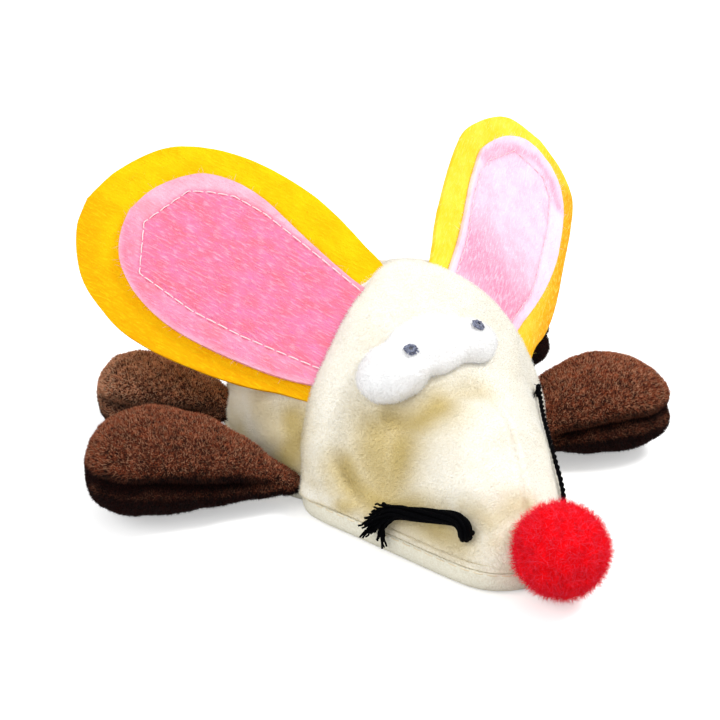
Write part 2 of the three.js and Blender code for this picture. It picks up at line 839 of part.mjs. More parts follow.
function caseLower() {
  const flangeWidth = caseWidth + flangeReach * 2;
  const flangeLength = caseLength + flangeReach * 2;
  const shell = join(
    toSolid(roundedPlate(caseWidth, caseLength, caseCorner, lowerCaseHeight, 0, 0)),
    toSolid(roundedPlate(
      flangeWidth, flangeLength, caseCorner + flangeReach, flangeThickness, 0,
      flangeBottom - caseBottom,
    )),
  );
  const inside = roundedPlate(
    insideWidth, insideLength, insideCorner, lowerCaseHeight, 0, caseWall,
  );
  const wallHeight = contactHeight + caseWall;
  const walls = [
    contactWallFront + contactWallThickness / 2,
    backPlateFront + contactThickness + gap + contactWallThickness / 2,
  ].map((place) => {
    const height = Math.min(wallHeight, lowerCaseHeight);
    return toSolid(box(contactWidth + gap * 2, contactWallThickness, height, cellPlaceX, place));
  });
  const doorBoss = standing(
    doorBossRadius, doorBossHeight, cellPlaceX, doorScrewPlace, caseWall - gap,
  );
  const filled = join(
    cut(shell, toSolid(inside)),
    bosses(bossRadius, caseWall - gap, lowerCaseHeight),
    cradle(caseWall - gap, motorHeight - gap),
    toSolid(doorBoss), ...walls,
  );
  const headSeat = screwHeadHeight + screwHeadSink + gap;
  const doorSeat = box(
    doorWidth + gap * 2, doorLength + gap * 2, doorPlateThickness + gap + cutOverrun,
    cellPlaceX, doorFront + doorLength / 2, -cutOverrun,
  );
  const cellHatch = box(
    doorWidth - doorLip * 2 + gap * 2, cellBack - cellFront, caseWall + cutOverrun * 2,
    cellPlaceX, (cellFront + cellBack) / 2, -cutOverrun,
  );
  const doorScrewHole = standing(
    doorScrewRadius + gap, doorBossHeight + caseWall, cellPlaceX, doorScrewPlace, 0,
  );
  const switchSlot = box(
    knobLength + switchTravel + gap * 2, knobWidth + gap * 2, caseWall + cutOverrun * 2,
    0, switchPlace, -cutOverrun,
  );
  return cut(
    filled,
    bosses(caseScrewRadius + gap, 0, lowerCaseHeight + cutOverrun),
    bosses(screwHeadRadius + gap, -cutOverrun, headSeat),
    toSolid(doorSeat), toSolid(cellHatch), toSolid(doorScrewHole), toSolid(switchSlot),
  );
}

function caseUpper() {
  const bottom = lowerCaseHeight + gap;
  const roof = caseHeight - caseWall;
  const shell = roundedPlate(caseWidth, caseLength, caseCorner, caseHeight - bottom, 0, bottom);
  const inside = roundedPlate(
    insideWidth, insideLength, insideCorner, roof - bottom + cutOverrun, 0, bottom - cutOverrun,
  );
  const filled = join(
    cut(toSolid(shell), toSolid(inside)),
    bosses(bossRadius, bottom, roof + gap),
    cradle(motorHeight + gap, roof + gap),
  );
  const screwTip = screwHeadSink + screwHeadHeight + caseScrewLength;
  return cut(filled, bosses(caseScrewRadius + gap, bottom - cutOverrun, screwTip + gap));
}

// A screw that points up, with a cross slot in its head.
function screw(radius, length, headRadius, headHeight, x, y, z) {
  const head = toSolid(standing(headRadius, headHeight, x, y, z));
  const shank = toSolid(standing(radius, length + gap, x, y, z + headHeight - gap));
  const slotLength = headRadius * 2 - screwDriveWidth * 2;
  const depth = screwDriveDepth + cutOverrun;
  const slots = [[slotLength, screwDriveWidth], [screwDriveWidth, slotLength]];
  const tools = slots.map(([width, long]) => toSolid(box(width, long, depth, x, y, z - cutOverrun)));
  return toGeometry(cut(join(head, shank), ...tools));
}

addMesh('case_lower', toGeometry(caseLower()), materials.casePlastic, capsule);
addMesh('case_upper', toGeometry(caseUpper()), materials.casePlastic, capsule);
corners.forEach(([x, y], i) => {
  const geometry = screw(
    caseScrewRadius, caseScrewLength, screwHeadRadius, screwHeadHeight, x, y, screwHeadSink,
  );
  addMesh(`case_screw_${i + 1}`, geometry, materials.steel, capsule);
});

// Motor, with the shaft in its nose and the weight on the shaft.
const shaftBack = motorFront - motorNoseLength + shaftSeat;
const shaftFront = shaftBack - shaftLength;

function motorCan() {
  const nose = lying(
    motorNoseRadius, motorNoseLength + gap, motorPlaceX, motorFront - motorNoseLength,
    motorHeight, smallRoundFacets,
  );
  const bore = lying(
    shaftRadius + gap, shaftSeat + gap + cutOverrun, motorPlaceX,
    motorFront - motorNoseLength - cutOverrun, motorHeight, smallRoundFacets,
  );
  return cut(join(motorEnvelope(0), toSolid(nose)), toSolid(bore));
}

function motorCap() {
  const face = motorBack + gap;
  const disc = lying(motorCapRadius, motorCapLength, motorPlaceX, face, motorHeight);
  const tabs = [-1, 1].map((side) => toSolid(box(
    terminalThickness, terminalLength + gap, terminalWidth,
    motorPlaceX + side * terminalSpread / 2,
    face + motorCapLength + terminalLength / 2 - gap / 2, motorHeight - terminalWidth / 2,
  )));
  return join(toSolid(disc), ...tabs);
}

function eccentricWeight() {
  const front = shaftFront + weightShaftInset;
  const disc = lying(weightRadius, weightLength, motorPlaceX, front, motorHeight);
  const hub = lying(weightHubRadius, weightLength, motorPlaceX, front, motorHeight);
  const lowerHalf = box(
    weightRadius * 2 + cutOverrun, weightLength + cutOverrun, weightRadius + cutOverrun,
    motorPlaceX, front + weightLength / 2, motorHeight - weightRadius - cutOverrun,
  );
  const bore = lying(
    shaftRadius + gap, weightLength + cutOverrun * 2, motorPlaceX, front - cutOverrun,
    motorHeight, smallRoundFacets,
  );
  const moon = toSolid(disc).intersect(toSolid(lowerHalf));
  return cut(join(moon, toSolid(hub)), toSolid(bore));
}

addMesh('motor_can', toGeometry(motorCan()), materials.steel, capsule);
addMesh('motor_end_cap', toGeometry(motorCap()), materials.blackPlastic, capsule);
addMesh(
  'motor_shaft',
  lying(shaftRadius, shaftLength, motorPlaceX, shaftFront, motorHeight, smallRoundFacets),
  materials.steel, capsule,
);
addMesh('eccentric_weight', toGeometry(eccentricWeight()), materials.brass, capsule);

// Cells: button cells with a stepped cap towards the spring.
const cellProfile = [
  [0, 0], [cellStepRadius, 0], [cellStepRadius, cellStepHeight], [cellRadius, cellStepHeight],
  [cellRadius, cellThickness], [0, cellThickness],
].map((point) => new THREE.Vector2(...point));

for (let i = 0; i < cellCount; i += 1) {
  const cell = new THREE.LatheGeometry(cellProfile, roundFacets);
  cell.translate(cellPlaceX, cellFront + cellPitch * i, cellHeight);
  addMesh(`battery_cell_${i + 1}`, cell, materials.cellSteel, capsule);
}

const contactBottom = caseWall + gap;
for (const [name, front] of [
  ['contact_plate_front', frontPlateFront],
  ['contact_plate_rear', backPlateFront],
]) {
  const place = front + contactThickness / 2;
  const plate = box(
    contactWidth, contactThickness, contactHeight, cellPlaceX, place, contactBottom,
  );
  addMesh(name, plate, materials.brass, capsule);
}

// The spring narrows from its base on the front plate to its tip on the cell.
const springPoints = [];
for (let i = 0; i <= springTurns * springSteps; i += 1) {
  const share = i / (springTurns * springSteps);
  const radius = springBaseRadius + (springTipRadius - springBaseRadius) * share;
  const angle = (i / springSteps) * 2 * Math.PI;
  const base = frontPlateFront + contactThickness + gap + springWireRadius;
  springPoints.push([
    cellPlaceX + radius * Math.cos(angle),
    base + (springLength - springWireRadius * 2) * share,
    cellHeight + radius * Math.sin(angle),
  ]);
}
const spring = tube(springWireRadius, springPoints, springTurns * springSteps, springFacets);
addMesh('contact_spring', spring, materials.steel, capsule);

// Door: a plate in a step of the case, with a plug that fills the hatch.
function batteryDoor() {
  const plate = box(
    doorWidth, doorLength, doorPlateThickness, cellPlaceX, doorFront + doorLength / 2,
  );
  const plug = box(
    doorWidth - doorLip * 2, cellBack - cellFront - gap * 2, caseWall, cellPlaceX,
    (cellFront + cellBack) / 2,
  );
  const hole = standing(
    doorScrewRadius + gap, doorPlateThickness + cutOverrun * 2, cellPlaceX, doorScrewPlace,
    -cutOverrun,
  );
  const headSeat = standing(
    doorScrewHeadRadius + gap, doorScrewHeadHeight + cutOverrun, cellPlaceX, doorScrewPlace,
    -cutOverrun,
  );
  return cut(join(toSolid(plate), toSolid(plug)), toSolid(hole), toSolid(headSeat));
}

addMesh('battery_door', toGeometry(batteryDoor()), materials.casePlastic, capsule);
addMesh(
  'battery_door_screw',
  screw(
    doorScrewRadius, doorScrewLength, doorScrewHeadRadius, doorScrewHeadHeight - gap,
    cellPlaceX, doorScrewPlace, 0,
  ),
  materials.steel, capsule,
);

// Switch: a hollow body over a slot in the case, and a slider with its knob.
const switchBottom = caseWall + gap;
const switchBody = cut(
  toSolid(box(switchLength, switchWidth, switchHeight, 0, switchPlace, switchBottom)),
  toSolid(box(
    switchLength - switchWall * 2, switchWidth - switchWall * 2,
    switchHeight - switchWall + cutOverrun, 0, switchPlace, switchBottom - cutOverrun,
  )),
);
addMesh('switch_body', toGeometry(switchBody), materials.blackPlastic, capsule);

const sliderPlace = -switchTravel / 2;
const slider = join(
  toSolid(box(sliderLength, sliderWidth, sliderHeight, sliderPlace, switchPlace, switchBottom)),
  toSolid(box(
    knobLength, knobWidth, knobProud + switchBottom + gap, sliderPlace, switchPlace, -knobProud,
  )),
);
addMesh('switch_slider', toGeometry(slider), materials.blackPlastic, capsule);

// Leads between the contacts, the switch and the motor.
const plateTop = contactBottom + contactHeight + gap;
const frontPlate = frontPlateFront + contactThickness / 2;
const backPlate = backPlateFront + contactThickness / 2;
const terminalX = [-1, 1].map((side) => motorPlaceX + side * terminalSpread / 2);
const switchTop = switchBottom + switchHeight + gap;
const switchEnd = switchLength / 2;

addMesh('lead_red', tube(leadRadius, [
  [cellPlaceX, backPlate, plateTop],
  [cellPlaceX, backPlate, plateTop + leadStub],
  [cellPlaceX - leadStub, backPlate + leadStub, leadTop],
  [terminalX[1], terminalTip + leadStub, leadTop],
  [terminalX[0] + leadStub, terminalTip + leadStub * 2, leadTop],
  [terminalX[0], terminalTip + leadStub * 1.5, motorHeight + leadStub],
  [terminalX[0], terminalTip + leadStub / 2, motorHeight],
  [terminalX[0], terminalTip + gap, motorHeight],
], leadSteps, leadFacets), materials.redLead, capsule);
addMesh('lead_black', tube(leadRadius, [
  [switchEnd - leadStub, switchPlace, switchTop],
  [switchEnd - leadStub, switchPlace, switchTop + leadStub],
  [leadPlaceX + leadStub, switchPlace + leadStub * 2.5, switchTop + leadStub / 2],
  [leadPlaceX, switchPlace + leadStub * 5, leadHeight],
  [leadPlaceX, motorBack - leadStub * 2, leadHeight],
  [leadPlaceX - leadStub, terminalTip, leadHeight + leadStub],
  [terminalX[1] + leadStub / 2, terminalTip + leadStub * 1.5, motorHeight - leadStub],
  [terminalX[1], terminalTip + leadStub, motorHeight],
  [terminalX[1], terminalTip + gap, motorHeight],
], leadSteps, leadFacets), materials.blackLead, capsule);
addMesh('lead_switch', tube(leadRadius, [
  [cellPlaceX, frontPlate, plateTop],
  [cellPlaceX, frontPlate, plateTop + leadStub],
  [cellPlaceX - leadStub, switchPlace + leadStub, plateTop + leadStub],
  [leadStub / 2, switchPlace + leadStub / 4, switchTop + leadStub * 2],
  [0, switchPlace, switchTop],
], leadSteps, leadFacets), materials.blackLead, capsule);

export default toy;
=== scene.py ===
import math
import random
import bmesh
import bpy
import numpy as np
from mathutils import Matrix, Vector, noise
from mathutils.bvhtree import BVHTree


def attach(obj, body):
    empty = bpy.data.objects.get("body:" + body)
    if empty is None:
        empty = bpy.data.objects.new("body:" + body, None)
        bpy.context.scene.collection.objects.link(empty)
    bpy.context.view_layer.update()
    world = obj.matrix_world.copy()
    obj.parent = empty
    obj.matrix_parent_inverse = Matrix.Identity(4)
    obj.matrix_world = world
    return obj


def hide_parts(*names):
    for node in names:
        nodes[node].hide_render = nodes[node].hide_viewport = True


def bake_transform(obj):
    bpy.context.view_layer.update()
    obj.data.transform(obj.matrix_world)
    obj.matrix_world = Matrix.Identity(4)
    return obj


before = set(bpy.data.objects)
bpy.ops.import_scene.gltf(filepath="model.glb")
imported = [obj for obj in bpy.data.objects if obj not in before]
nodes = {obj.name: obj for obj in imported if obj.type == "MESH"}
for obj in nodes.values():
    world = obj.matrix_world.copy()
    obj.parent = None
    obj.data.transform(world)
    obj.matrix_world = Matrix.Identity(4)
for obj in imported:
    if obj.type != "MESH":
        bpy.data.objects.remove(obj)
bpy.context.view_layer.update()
mm = 0.001  # lengths below are millimetres, the scene is metres


# small tools that every piece uses


def linear(colour):
    shares = [c / 255 for c in colour]
    return [s / 12.92 if s <= 0.04045 else ((s + 0.055) / 1.055) ** 2.4 for s in shares] + [1.0]


def addNode(tree, kind, inputs=None, **settings):
    node = tree.nodes.new(kind)
    for key, value in settings.items():
        setattr(node, key, value)
    for key, value in (inputs or {}).items():
        if isinstance(value, bpy.types.NodeSocket):
            tree.links.new(value, node.inputs[key])
        else:
            node.inputs[key].default_value = value
    return node


def startMaterial(name, roughness, **constants):
    material = bpy.data.materials.new(name)
    material.use_nodes = True
    shader = material.node_tree.nodes["Principled BSDF"]
    shader.inputs["Roughness"].default_value = roughness
    shader.inputs["Specular IOR Level"].default_value = 0.5 if roughness < 0.5 else 0.12
    for socket, value in constants.items():
        shader.inputs[socket.replace("_", " ")].default_value = value
    return material, material.node_tree, shader


def mixed(tree, factor, first, second, blend="MIX"):
    # a colour of three numbers is written from 0 to 255
    first, second = (linear(c) if isinstance(c, tuple) and len(c) == 3 else c for c in (first, second))
    node = addNode(tree, "ShaderNodeMix", {0: factor, 6: first, 7: second}, data_type="RGBA", blend_type=blend)
    return node.outputs[2]


def ranged(tree, value, low, high, newLow=0.0, newHigh=1.0):
    return addNode(tree, "ShaderNodeMapRange", {0: value, 1: low, 2: high, 3: newLow, 4: newHigh}).outputs[0]


def sums(tree, operation, first, second):
    return addNode(tree, "ShaderNodeMath", {0: first, 1: second}, operation=operation).outputs[0]


def noiseAt(tree, place, scale, detail=2.0, stretch=None, turn=(0, 0, 0), rough=0.5):
    if stretch:
        place = addNode(tree, "ShaderNodeMapping", {"Vector": place, "Rotation": turn, "Scale": stretch}).outputs[0]
    inputs = {"Vector": place, "Scale": scale, "Detail": detail, "Roughness": rough}
    return addNode(tree, "ShaderNodeTexNoise", inputs).outputs[0]


def objectPlace(tree):
    return addNode(tree, "ShaderNodeTexCoord").outputs["Object"]


def finishShader(tree, shader, colour, height=None, distance=0):
    tree.links.new(colour, shader.inputs["Base Color"])
    if height is not None:
        bump = addNode(tree, "ShaderNodeBump", {"Height": height, "Distance": distance * mm, "Strength": 1.0})
        tree.links.new(bump.outputs[0], shader.inputs["Normal"])


def threadMaterial(name, roughness, tones, scale, span=None, detail=2, **constants):
    # two tones that change along fine grain, for threads and plain fillings
    material, tree, shader = startMaterial(name, roughness, **constants)
    grain = noiseAt(tree, objectPlace(tree), scale, detail)
    finishShader(tree, shader, mixed(tree, ranged(tree, grain, *span) if span else grain, *tones))
    return material


def curvePoint(rows, share):
    # the same centripetal curve that the solids were drawn with
    count = len(rows) - 1
    place = min(max(share, 0.0), 1.0) * count
    index = min(int(place), count - 1)
    weight = place - index
    start, end = rows[index], rows[index + 1]
    before = rows[index - 1] if index else start * 2 - end
    after = rows[index + 2] if index + 2 <= count else end * 2 - start
    steps = [max((b - a).length, 1e-9) ** 0.5 for a, b in ((before, start), (start, end), (end, after))]
    leave = ((start - before) / steps[0] - (end - before) / (steps[0] + steps[1]) + (end - start) / steps[1]) * steps[1]
    arrive = ((end - start) / steps[1] - (after - start) / (steps[1] + steps[2]) + (after - end) / steps[2]) * steps[1]
    bend = end * 3 - start * 3 - leave * 2 - arrive
    return start + leave * weight + bend * weight**2 + (start * 2 - end * 2 + leave + arrive) * weight**3


def smoothLine(points, count):
    rows = [Vector(p) for p in points]
    return [curvePoint(rows, i / (count - 1)) for i in range(count)]


def evenLine(line, step):
    places = np.array([tuple(p) for p in line])
    travelled = np.concatenate([[0], np.cumsum(np.linalg.norm(np.diff(places, axis=0), axis=1))])
    count = max(2, round(travelled[-1] / step) + 1)
    at = np.linspace(0, travelled[-1], count)
    return [Vector([np.interp(s, travelled, places[:, k]) for k in range(places.shape[1])]) for s in at]


def distanceTo(places, line):
    best, share = np.full(len(places), 1e9), np.zeros(len(places))
    line = np.array([tuple(p) for p in line])
    for i, (a, b) in enumerate(zip(line[:-1], line[1:])):
        ab = b - a
        t = np.clip(((places - a) @ ab) / max(ab @ ab, 1e-12), 0, 1)
        away = np.linalg.norm(places - a - t[:, None] * ab, axis=1)
        closer = away < best
        best[closer], share[closer] = away[closer], ((i + t) / (len(line) - 1))[closer]
    return best, share


def wrappedGrid(alongSteps, roundSteps, placeAt):
    bm = bmesh.new()
    bmesh.ops.create_grid(bm, x_segments=alongSteps, y_segments=roundSteps, size=1)
    for vert in bm.verts:
        vert.co = placeAt((vert.co.x + 1) / 2, (vert.co.y + 1) / 2) * mm
    bmesh.ops.remove_doubles(bm, verts=bm.verts, dist=0.02 * mm)
    bmesh.ops.recalc_face_normals(bm, faces=bm.faces)
    return bm


def placesOf(bm):
    return np.array([tuple(v.co) for v in bm.verts]) / mm


def pushOut(bm, offsets):
    bm.normal_update()
    for vert, normal, offset in zip(bm.verts, [v.normal.copy() for v in bm.verts], offsets):
        vert.co += normal * (offset * mm)


def foldOffsets(places, folds):
    # a groove along each line, with a puff on both sides of it; a negative depth is a swell
    puffAt = 2.1  # widths away from the groove
    total = np.zeros(len(places))
    for fold in folds:
        line = smoothLine(fold["line"], 24) if len(fold["line"]) > 2 else [Vector(p) for p in fold["line"]]
        away, share = distanceTo(places, line)
        ends = fold.get("ends", 0.25)
        fade = np.clip(share / ends, 0, 1) * np.clip((1 - share) / ends, 0, 1) if ends else 1.0
        width = fold["width"]
        groove = fold["depth"] * np.exp(-((away / width) ** 2))
        puff = fold.get("puff", 0) * np.exp(-(((away - puffAt * width) / width) ** 2))
        total += (puff - groove) * fade
    return total


def painted(places, lines):
    # how strongly a tone is laid on along some lines, from 0 to 1
    total = np.zeros(len(places))
    for row in lines:
        away, _ = distanceTo(places, [Vector((*p, 0)[:3]) for p in row["line"]])
        total = np.maximum(total, row["share"] * np.exp(-((away / row["width"]) ** 2)))
    return total


def lumps(places, size, height, seed):
    return np.array([noise.noise(Vector(p) / size + Vector((seed, 0, 0))) * height for p in places])


def makeObject(name, source, material=None, smooth=True):
    if isinstance(source, bmesh.types.BMesh):
        mesh = bpy.data.meshes.new(name)
        source.to_mesh(mesh)
        source.free()
    else:
        mesh = source
    mesh.name = name
    obj = bpy.data.objects.new(name, mesh)
    bpy.context.scene.collection.objects.link(obj)
    mesh.shade_smooth() if smooth else mesh.shade_flat()
    if material:
        mesh.materials.clear()
        mesh.materials.append(material)
    return obj


def finalMesh(obj):
    return bpy.data.meshes.new_from_object(obj.evaluated_get(bpy.context.evaluated_depsgraph_get()))


def dropObject(obj):
    bpy.data.objects.remove(obj, do_unlink=True)


def addModifier(obj, kind, **settings):
    modifier = obj.modifiers.new(kind.title(), kind)
    for key, value in settings.items():
        setattr(modifier, key, value)
    return modifier


def threadPiece(name, lines, radius, material, tipShare=1.0, sides=1, body="root"):
    curve = bpy.data.curves.new(name, "CURVE")
    curve.dimensions = "3D"
    curve.bevel_depth = radius * mm
    curve.bevel_resolution = sides
    curve.use_fill_caps = True
    for line in lines:
        spline = curve.splines.new("POLY")
        spline.points.add(len(line) - 1)
        for i, (point, place) in enumerate(zip(spline.points, line)):
            point.co = (*(Vector(place) * mm), 1)
            point.radius = 1 + (tipShare - 1) * i / (len(line) - 1)
    drawn = bpy.data.objects.new(name + "Line", curve)
    bpy.context.scene.collection.objects.link(drawn)
    bpy.context.view_layer.update()
    obj = makeObject(name, finalMesh(drawn), material)
    dropObject(drawn)
    if body:
        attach(obj, body)
    return obj


def makeBlade(name, rings, bend):
    # one three-sided fibre of unit width and length, bent sideways; "along" runs from its root to its tip
    bm = bmesh.new()
    along = bm.verts.layers.float.new("along")
    bmesh.ops.create_circle(bm, segments=3, radius=1, cap_ends=False)
    edges = list(bm.edges)
    for ring in range(1, rings + 1):
        extruded = bmesh.ops.extrude_edge_only(bm, edges=edges)["geom"]
        verts = [g for g in extruded if isinstance(g, bmesh.types.BMVert)]
        edges = [g for g in extruded if isinstance(g, bmesh.types.BMEdge)]
        share = ring / rings
        centre = Vector((bend * share**2, 0, share))
        old = sum((v.co for v in verts), Vector()) / len(verts)
        width = math.sqrt(max(0.0, 1 - share**1.6))
        for v in verts:
            v.co = centre + (v.co - old).normalized() * width
            v[along] = share
    bmesh.ops.remove_doubles(bm, verts=bm.verts, dist=1e-4)
    bmesh.ops.recalc_face_normals(bm, faces=bm.faces)
    return makeObject(name, bm)


def plantPile(name, surface, settings, material):
    # scatters fibres over a surface, leaning and spread, and returns them as one plain mesh
    length, width = settings["length"], settings["width"]
    blade = makeBlade(name + "Blade", settings.get("rings", 1), settings.get("bend", 0) * length / width)
    area = sum(p.area for p in surface.data.polygons)
    group = bpy.data.node_groups.new(name + "Planting", "GeometryNodeTree")
    group.interface.new_socket("Geometry", in_out="INPUT", socket_type="NodeSocketGeometry")
    group.interface.new_socket("Geometry", in_out="OUTPUT", socket_type="NodeSocketGeometry")
    entry, leave = group.nodes.new("NodeGroupInput"), group.nodes.new("NodeGroupOutput")
    seed = settings.get("seed", 1)

    def randomly(low, high, offset):
        node = addNode(group, "FunctionNodeRandomValue", data_type="FLOAT")
        node.inputs[2].default_value, node.inputs[3].default_value = low, high
        node.inputs["Seed"].default_value = seed + offset
        return node.outputs[1]

    def vector(operation, first, second, scale=None):
        inputs = {0: first} if second is None else {0: first, 1: second}
        if scale is not None:
            inputs[3] = scale
        return addNode(group, "ShaderNodeVectorMath", inputs, operation=operation).outputs[0]

    scatter = addNode(group, "GeometryNodeDistributePointsOnFaces",
                      {"Mesh": entry.outputs[0], "Density": settings["count"] / area, "Seed": seed},
                      distribute_method="RANDOM")
    spread = settings.get("spread", 0.5)
    stray = addNode(group, "FunctionNodeRandomValue", data_type="FLOAT_VECTOR")
    stray.inputs[0].default_value, stray.inputs[1].default_value = (-spread,) * 3, (spread,) * 3
    stray.inputs["Seed"].default_value = seed + 5
    upright = vector("SCALE", scatter.outputs["Normal"], None, settings.get("upright", 1.0))
    leaning = vector("ADD", vector("ADD", upright, stray.outputs[0]), settings.get("lean", (0, 0, 0)))
    spin = addNode(group, "ShaderNodeCombineXYZ", {2: randomly(0, 6.283, 1)})
    turned = addNode(group, "FunctionNodeEulerToRotation", {0: spin.outputs[0]})
    aligned = addNode(group, "FunctionNodeAlignRotationToVector",
                      {"Rotation": turned.outputs[0], "Vector": leaning}, axis="Z")
    wide = randomly(0.75 * width * mm, 1.25 * width * mm, 2)
    shortest = settings.get("shortest", 0.6)
    tall = randomly(shortest * length * mm, length * mm, 3)
    scale = addNode(group, "ShaderNodeCombineXYZ", {0: wide, 1: wide, 2: tall})
    source = addNode(group, "GeometryNodeObjectInfo", {"Object": blade})
    planted = addNode(group, "GeometryNodeInstanceOnPoints",
                      {"Points": scatter.outputs["Points"], "Instance": source.outputs["Geometry"],
                       "Rotation": aligned.outputs[0], "Scale": scale.outputs[0]})
    toned = addNode(group, "GeometryNodeStoreNamedAttribute",
                    {"Geometry": planted.outputs[0], "Name": "tone", "Value": randomly(0, 1, 4)},
                    data_type="FLOAT", domain="INSTANCE")
    real = addNode(group, "GeometryNodeRealizeInstances", {0: toned.outputs[0]})
    group.links.new(real.outputs[0], leave.inputs[0])

    carrier = makeObject(name + "Carrier", surface.data.copy())
    addModifier(carrier, "NODES").node_group = group
    bpy.context.view_layer.update()
    mesh = finalMesh(carrier)
    perBlade = len(blade.data.loops)
    tidyFibreMap(mesh, perBlade, blade.data)
    obj = makeObject(name, mesh, material)
    for extra in (carrier, blade):
        dropObject(extra)
    return obj


def tidyFibreMap(mesh, perBlade, bladeMesh):
    # every fibre gets a small cell of its own in the map
    count = len(mesh.loops) // perBlade
    side = math.ceil(math.sqrt(max(1, count)))
    own = np.zeros((perBlade, 2))
    for face in bladeMesh.polygons:
        for k, loop in enumerate(face.loop_indices):
            high = bladeMesh.vertices[bladeMesh.loops[loop].vertex_index].co.z
            own[loop] = ((face.index + 0.1 + 0.8 * (k in (1, 2))) / len(bladeMesh.polygons), 0.1 + 0.8 * high)
    cells = np.arange(count)
    corners = np.stack([cells % side, cells // side], 1)
    places = (corners[:, None, :] + 0.05 + 0.9 * own[None]) / side
    layer = mesh.uv_layers.new(name="OFBake")
    layer.uv.foreach_set("vector", places.astype(np.float32).ravel())


def setFloat(obj, name, values):
    attribute = obj.data.attributes.new(name, "FLOAT", "POINT")
    attribute.data.foreach_set("value", np.asarray(values, np.float32))


def attributeValue(tree, name):
    return addNode(tree, "ShaderNodeAttribute", attribute_name=name).outputs["Fac"]


def surfaceTree(obj):
    mesh = obj.data
    return BVHTree.FromPolygons([v.co.copy() for v in mesh.vertices], [tuple(p.vertices) for p in mesh.polygons])


def shaded(tree, colour, tint):
    # painted shade: where the "shade" attribute is high, in hollows, creases and low places, the colour is multiplied
    # by the shade tint
    return mixed(tree, attributeValue(tree, "shade"), colour, tint, blend="MULTIPLY")


def stitchRow(line, stitch, gap, lift, out):
    # short raised stitches along a line; out(place) is the way up from the cloth
    parts = 6  # points from one stitch to the next
    found, even = [], evenLine(line, (stitch + gap) / parts)
    filled = max(2, round(parts * stitch / (stitch + gap)))
    for start in range(0, len(even) - filled, parts):
        run = even[start : start + filled + 1]
        rises = [lift * math.sin(math.pi * i / (len(run) - 1)) - 0.1 * lift for i in range(len(run))]
        found.append([p + out(p) * rise for p, rise in zip(run, rises)])
    return found


# camera

cameraSettings = {
    "place": (-150.8, -257.5, 171.2),
    "azimuth": -27.0,
    "elevation": 25.5,
    "roll": 2.5,
    "lens": 77.5,
}


def makeCamera():
    azimuth, elevation, roll = (math.radians(cameraSettings[k]) for k in ("azimuth", "elevation", "roll"))
    right = Vector((math.cos(azimuth), math.sin(azimuth), 0))
    ahead, down = math.cos(elevation), -math.sin(elevation)
    forward = Vector((-math.sin(azimuth) * ahead, math.cos(azimuth) * ahead, down))
    up = right.cross(forward)
    turnedRight = right * math.cos(roll) + up * math.sin(roll)
    turnedUp = up * math.cos(roll) - right * math.sin(roll)
    data = bpy.data.cameras.new("photoCamera")
    data.lens, data.sensor_width, data.clip_start = cameraSettings["lens"], 36, 0.01
    camera = bpy.data.objects.new("photoCamera", data)
    bpy.context.scene.collection.objects.link(camera)
    turn = Matrix((turnedRight, turnedUp, -forward)).transposed().to_4x4()
    camera.matrix_world = Matrix.Translation(Vector(cameraSettings["place"]) * mm) @ turn
    bpy.context.scene.camera = camera


makeCamera()
print("camera placed")

# whiskers: a bundle of black yarn on each cheek

whiskerSettings = {
    "right": {
        "route": [(-9.4, -33.2, 10.2), (-12.2, -35.6, 10.5), (-14.0, -37.4, 11.3), (-14.5, -37.5, 13.2),
                  (-14.9, -36.3, 14.0), (-15.7, -34.5, 13.8), (-17.0, -31.9, 13.0), (-18.6, -29.3, 12.2),
                  (-20.4, -26.7, 11.5), (-22.1, -24.4, 10.9), (-23.7, -23, 10), (-24.9, -22.6, 8.7), (-25.5, -22.9, 7.3)],
        "diameter": 3.1,
        "strands": 9,
        "strandRadius": 0.5,
        "turns": 0.45,
        "seed": 3,
        "fray": {"count": 46, "from": 0.8, "length": 4.4, "spread": 1.7, "radius": 0.4, "lowest": 0.6},
    },
    "left": {
        "route": [(4.5, -38.5, 12), (6.6, -39.6, 14.4), (7.8, -38, 15.4), (9.7, -34, 16.3), (11.5, -29, 17.7),
                  (14.3, -22, 18.9), (18.2, -13, 19.9), (21.0, -7.2, 20.7), (22.0, -5, 21.4), (21.6, -5, 22.2),
                  (20.9, -6.3, 22), (20.5, -7.3, 20.9)],
        "diameter": 1.15,
        "strands": 2,
        "strandRadius": 0.31,
        "turns": 14,
        "seed": 5,
        "fray": {"count": 12, "from": 0.9, "length": 2.2, "spread": 1.0, "radius": 0.12, "lowest": 0.6},
    },
}


def yarnMaterial():
    material, tree, shader = startMaterial("black yarn", 0.7, Specular_IOR_Level=0.02)
    place = objectPlace(tree)
    fine = noiseAt(tree, place, 3500, 3)
    patches = noiseAt(tree, place, 420, 1)
    colour = mixed(tree, ranged(tree, fine, 0.45, 0.75), (1, 1, 2), (7, 7, 10))
    colour = mixed(tree, ranged(tree, patches, 0.45, 0.7), colour, (2, 2, 3))
    finishShader(tree, shader, colour, fine, 0.12)
    return material


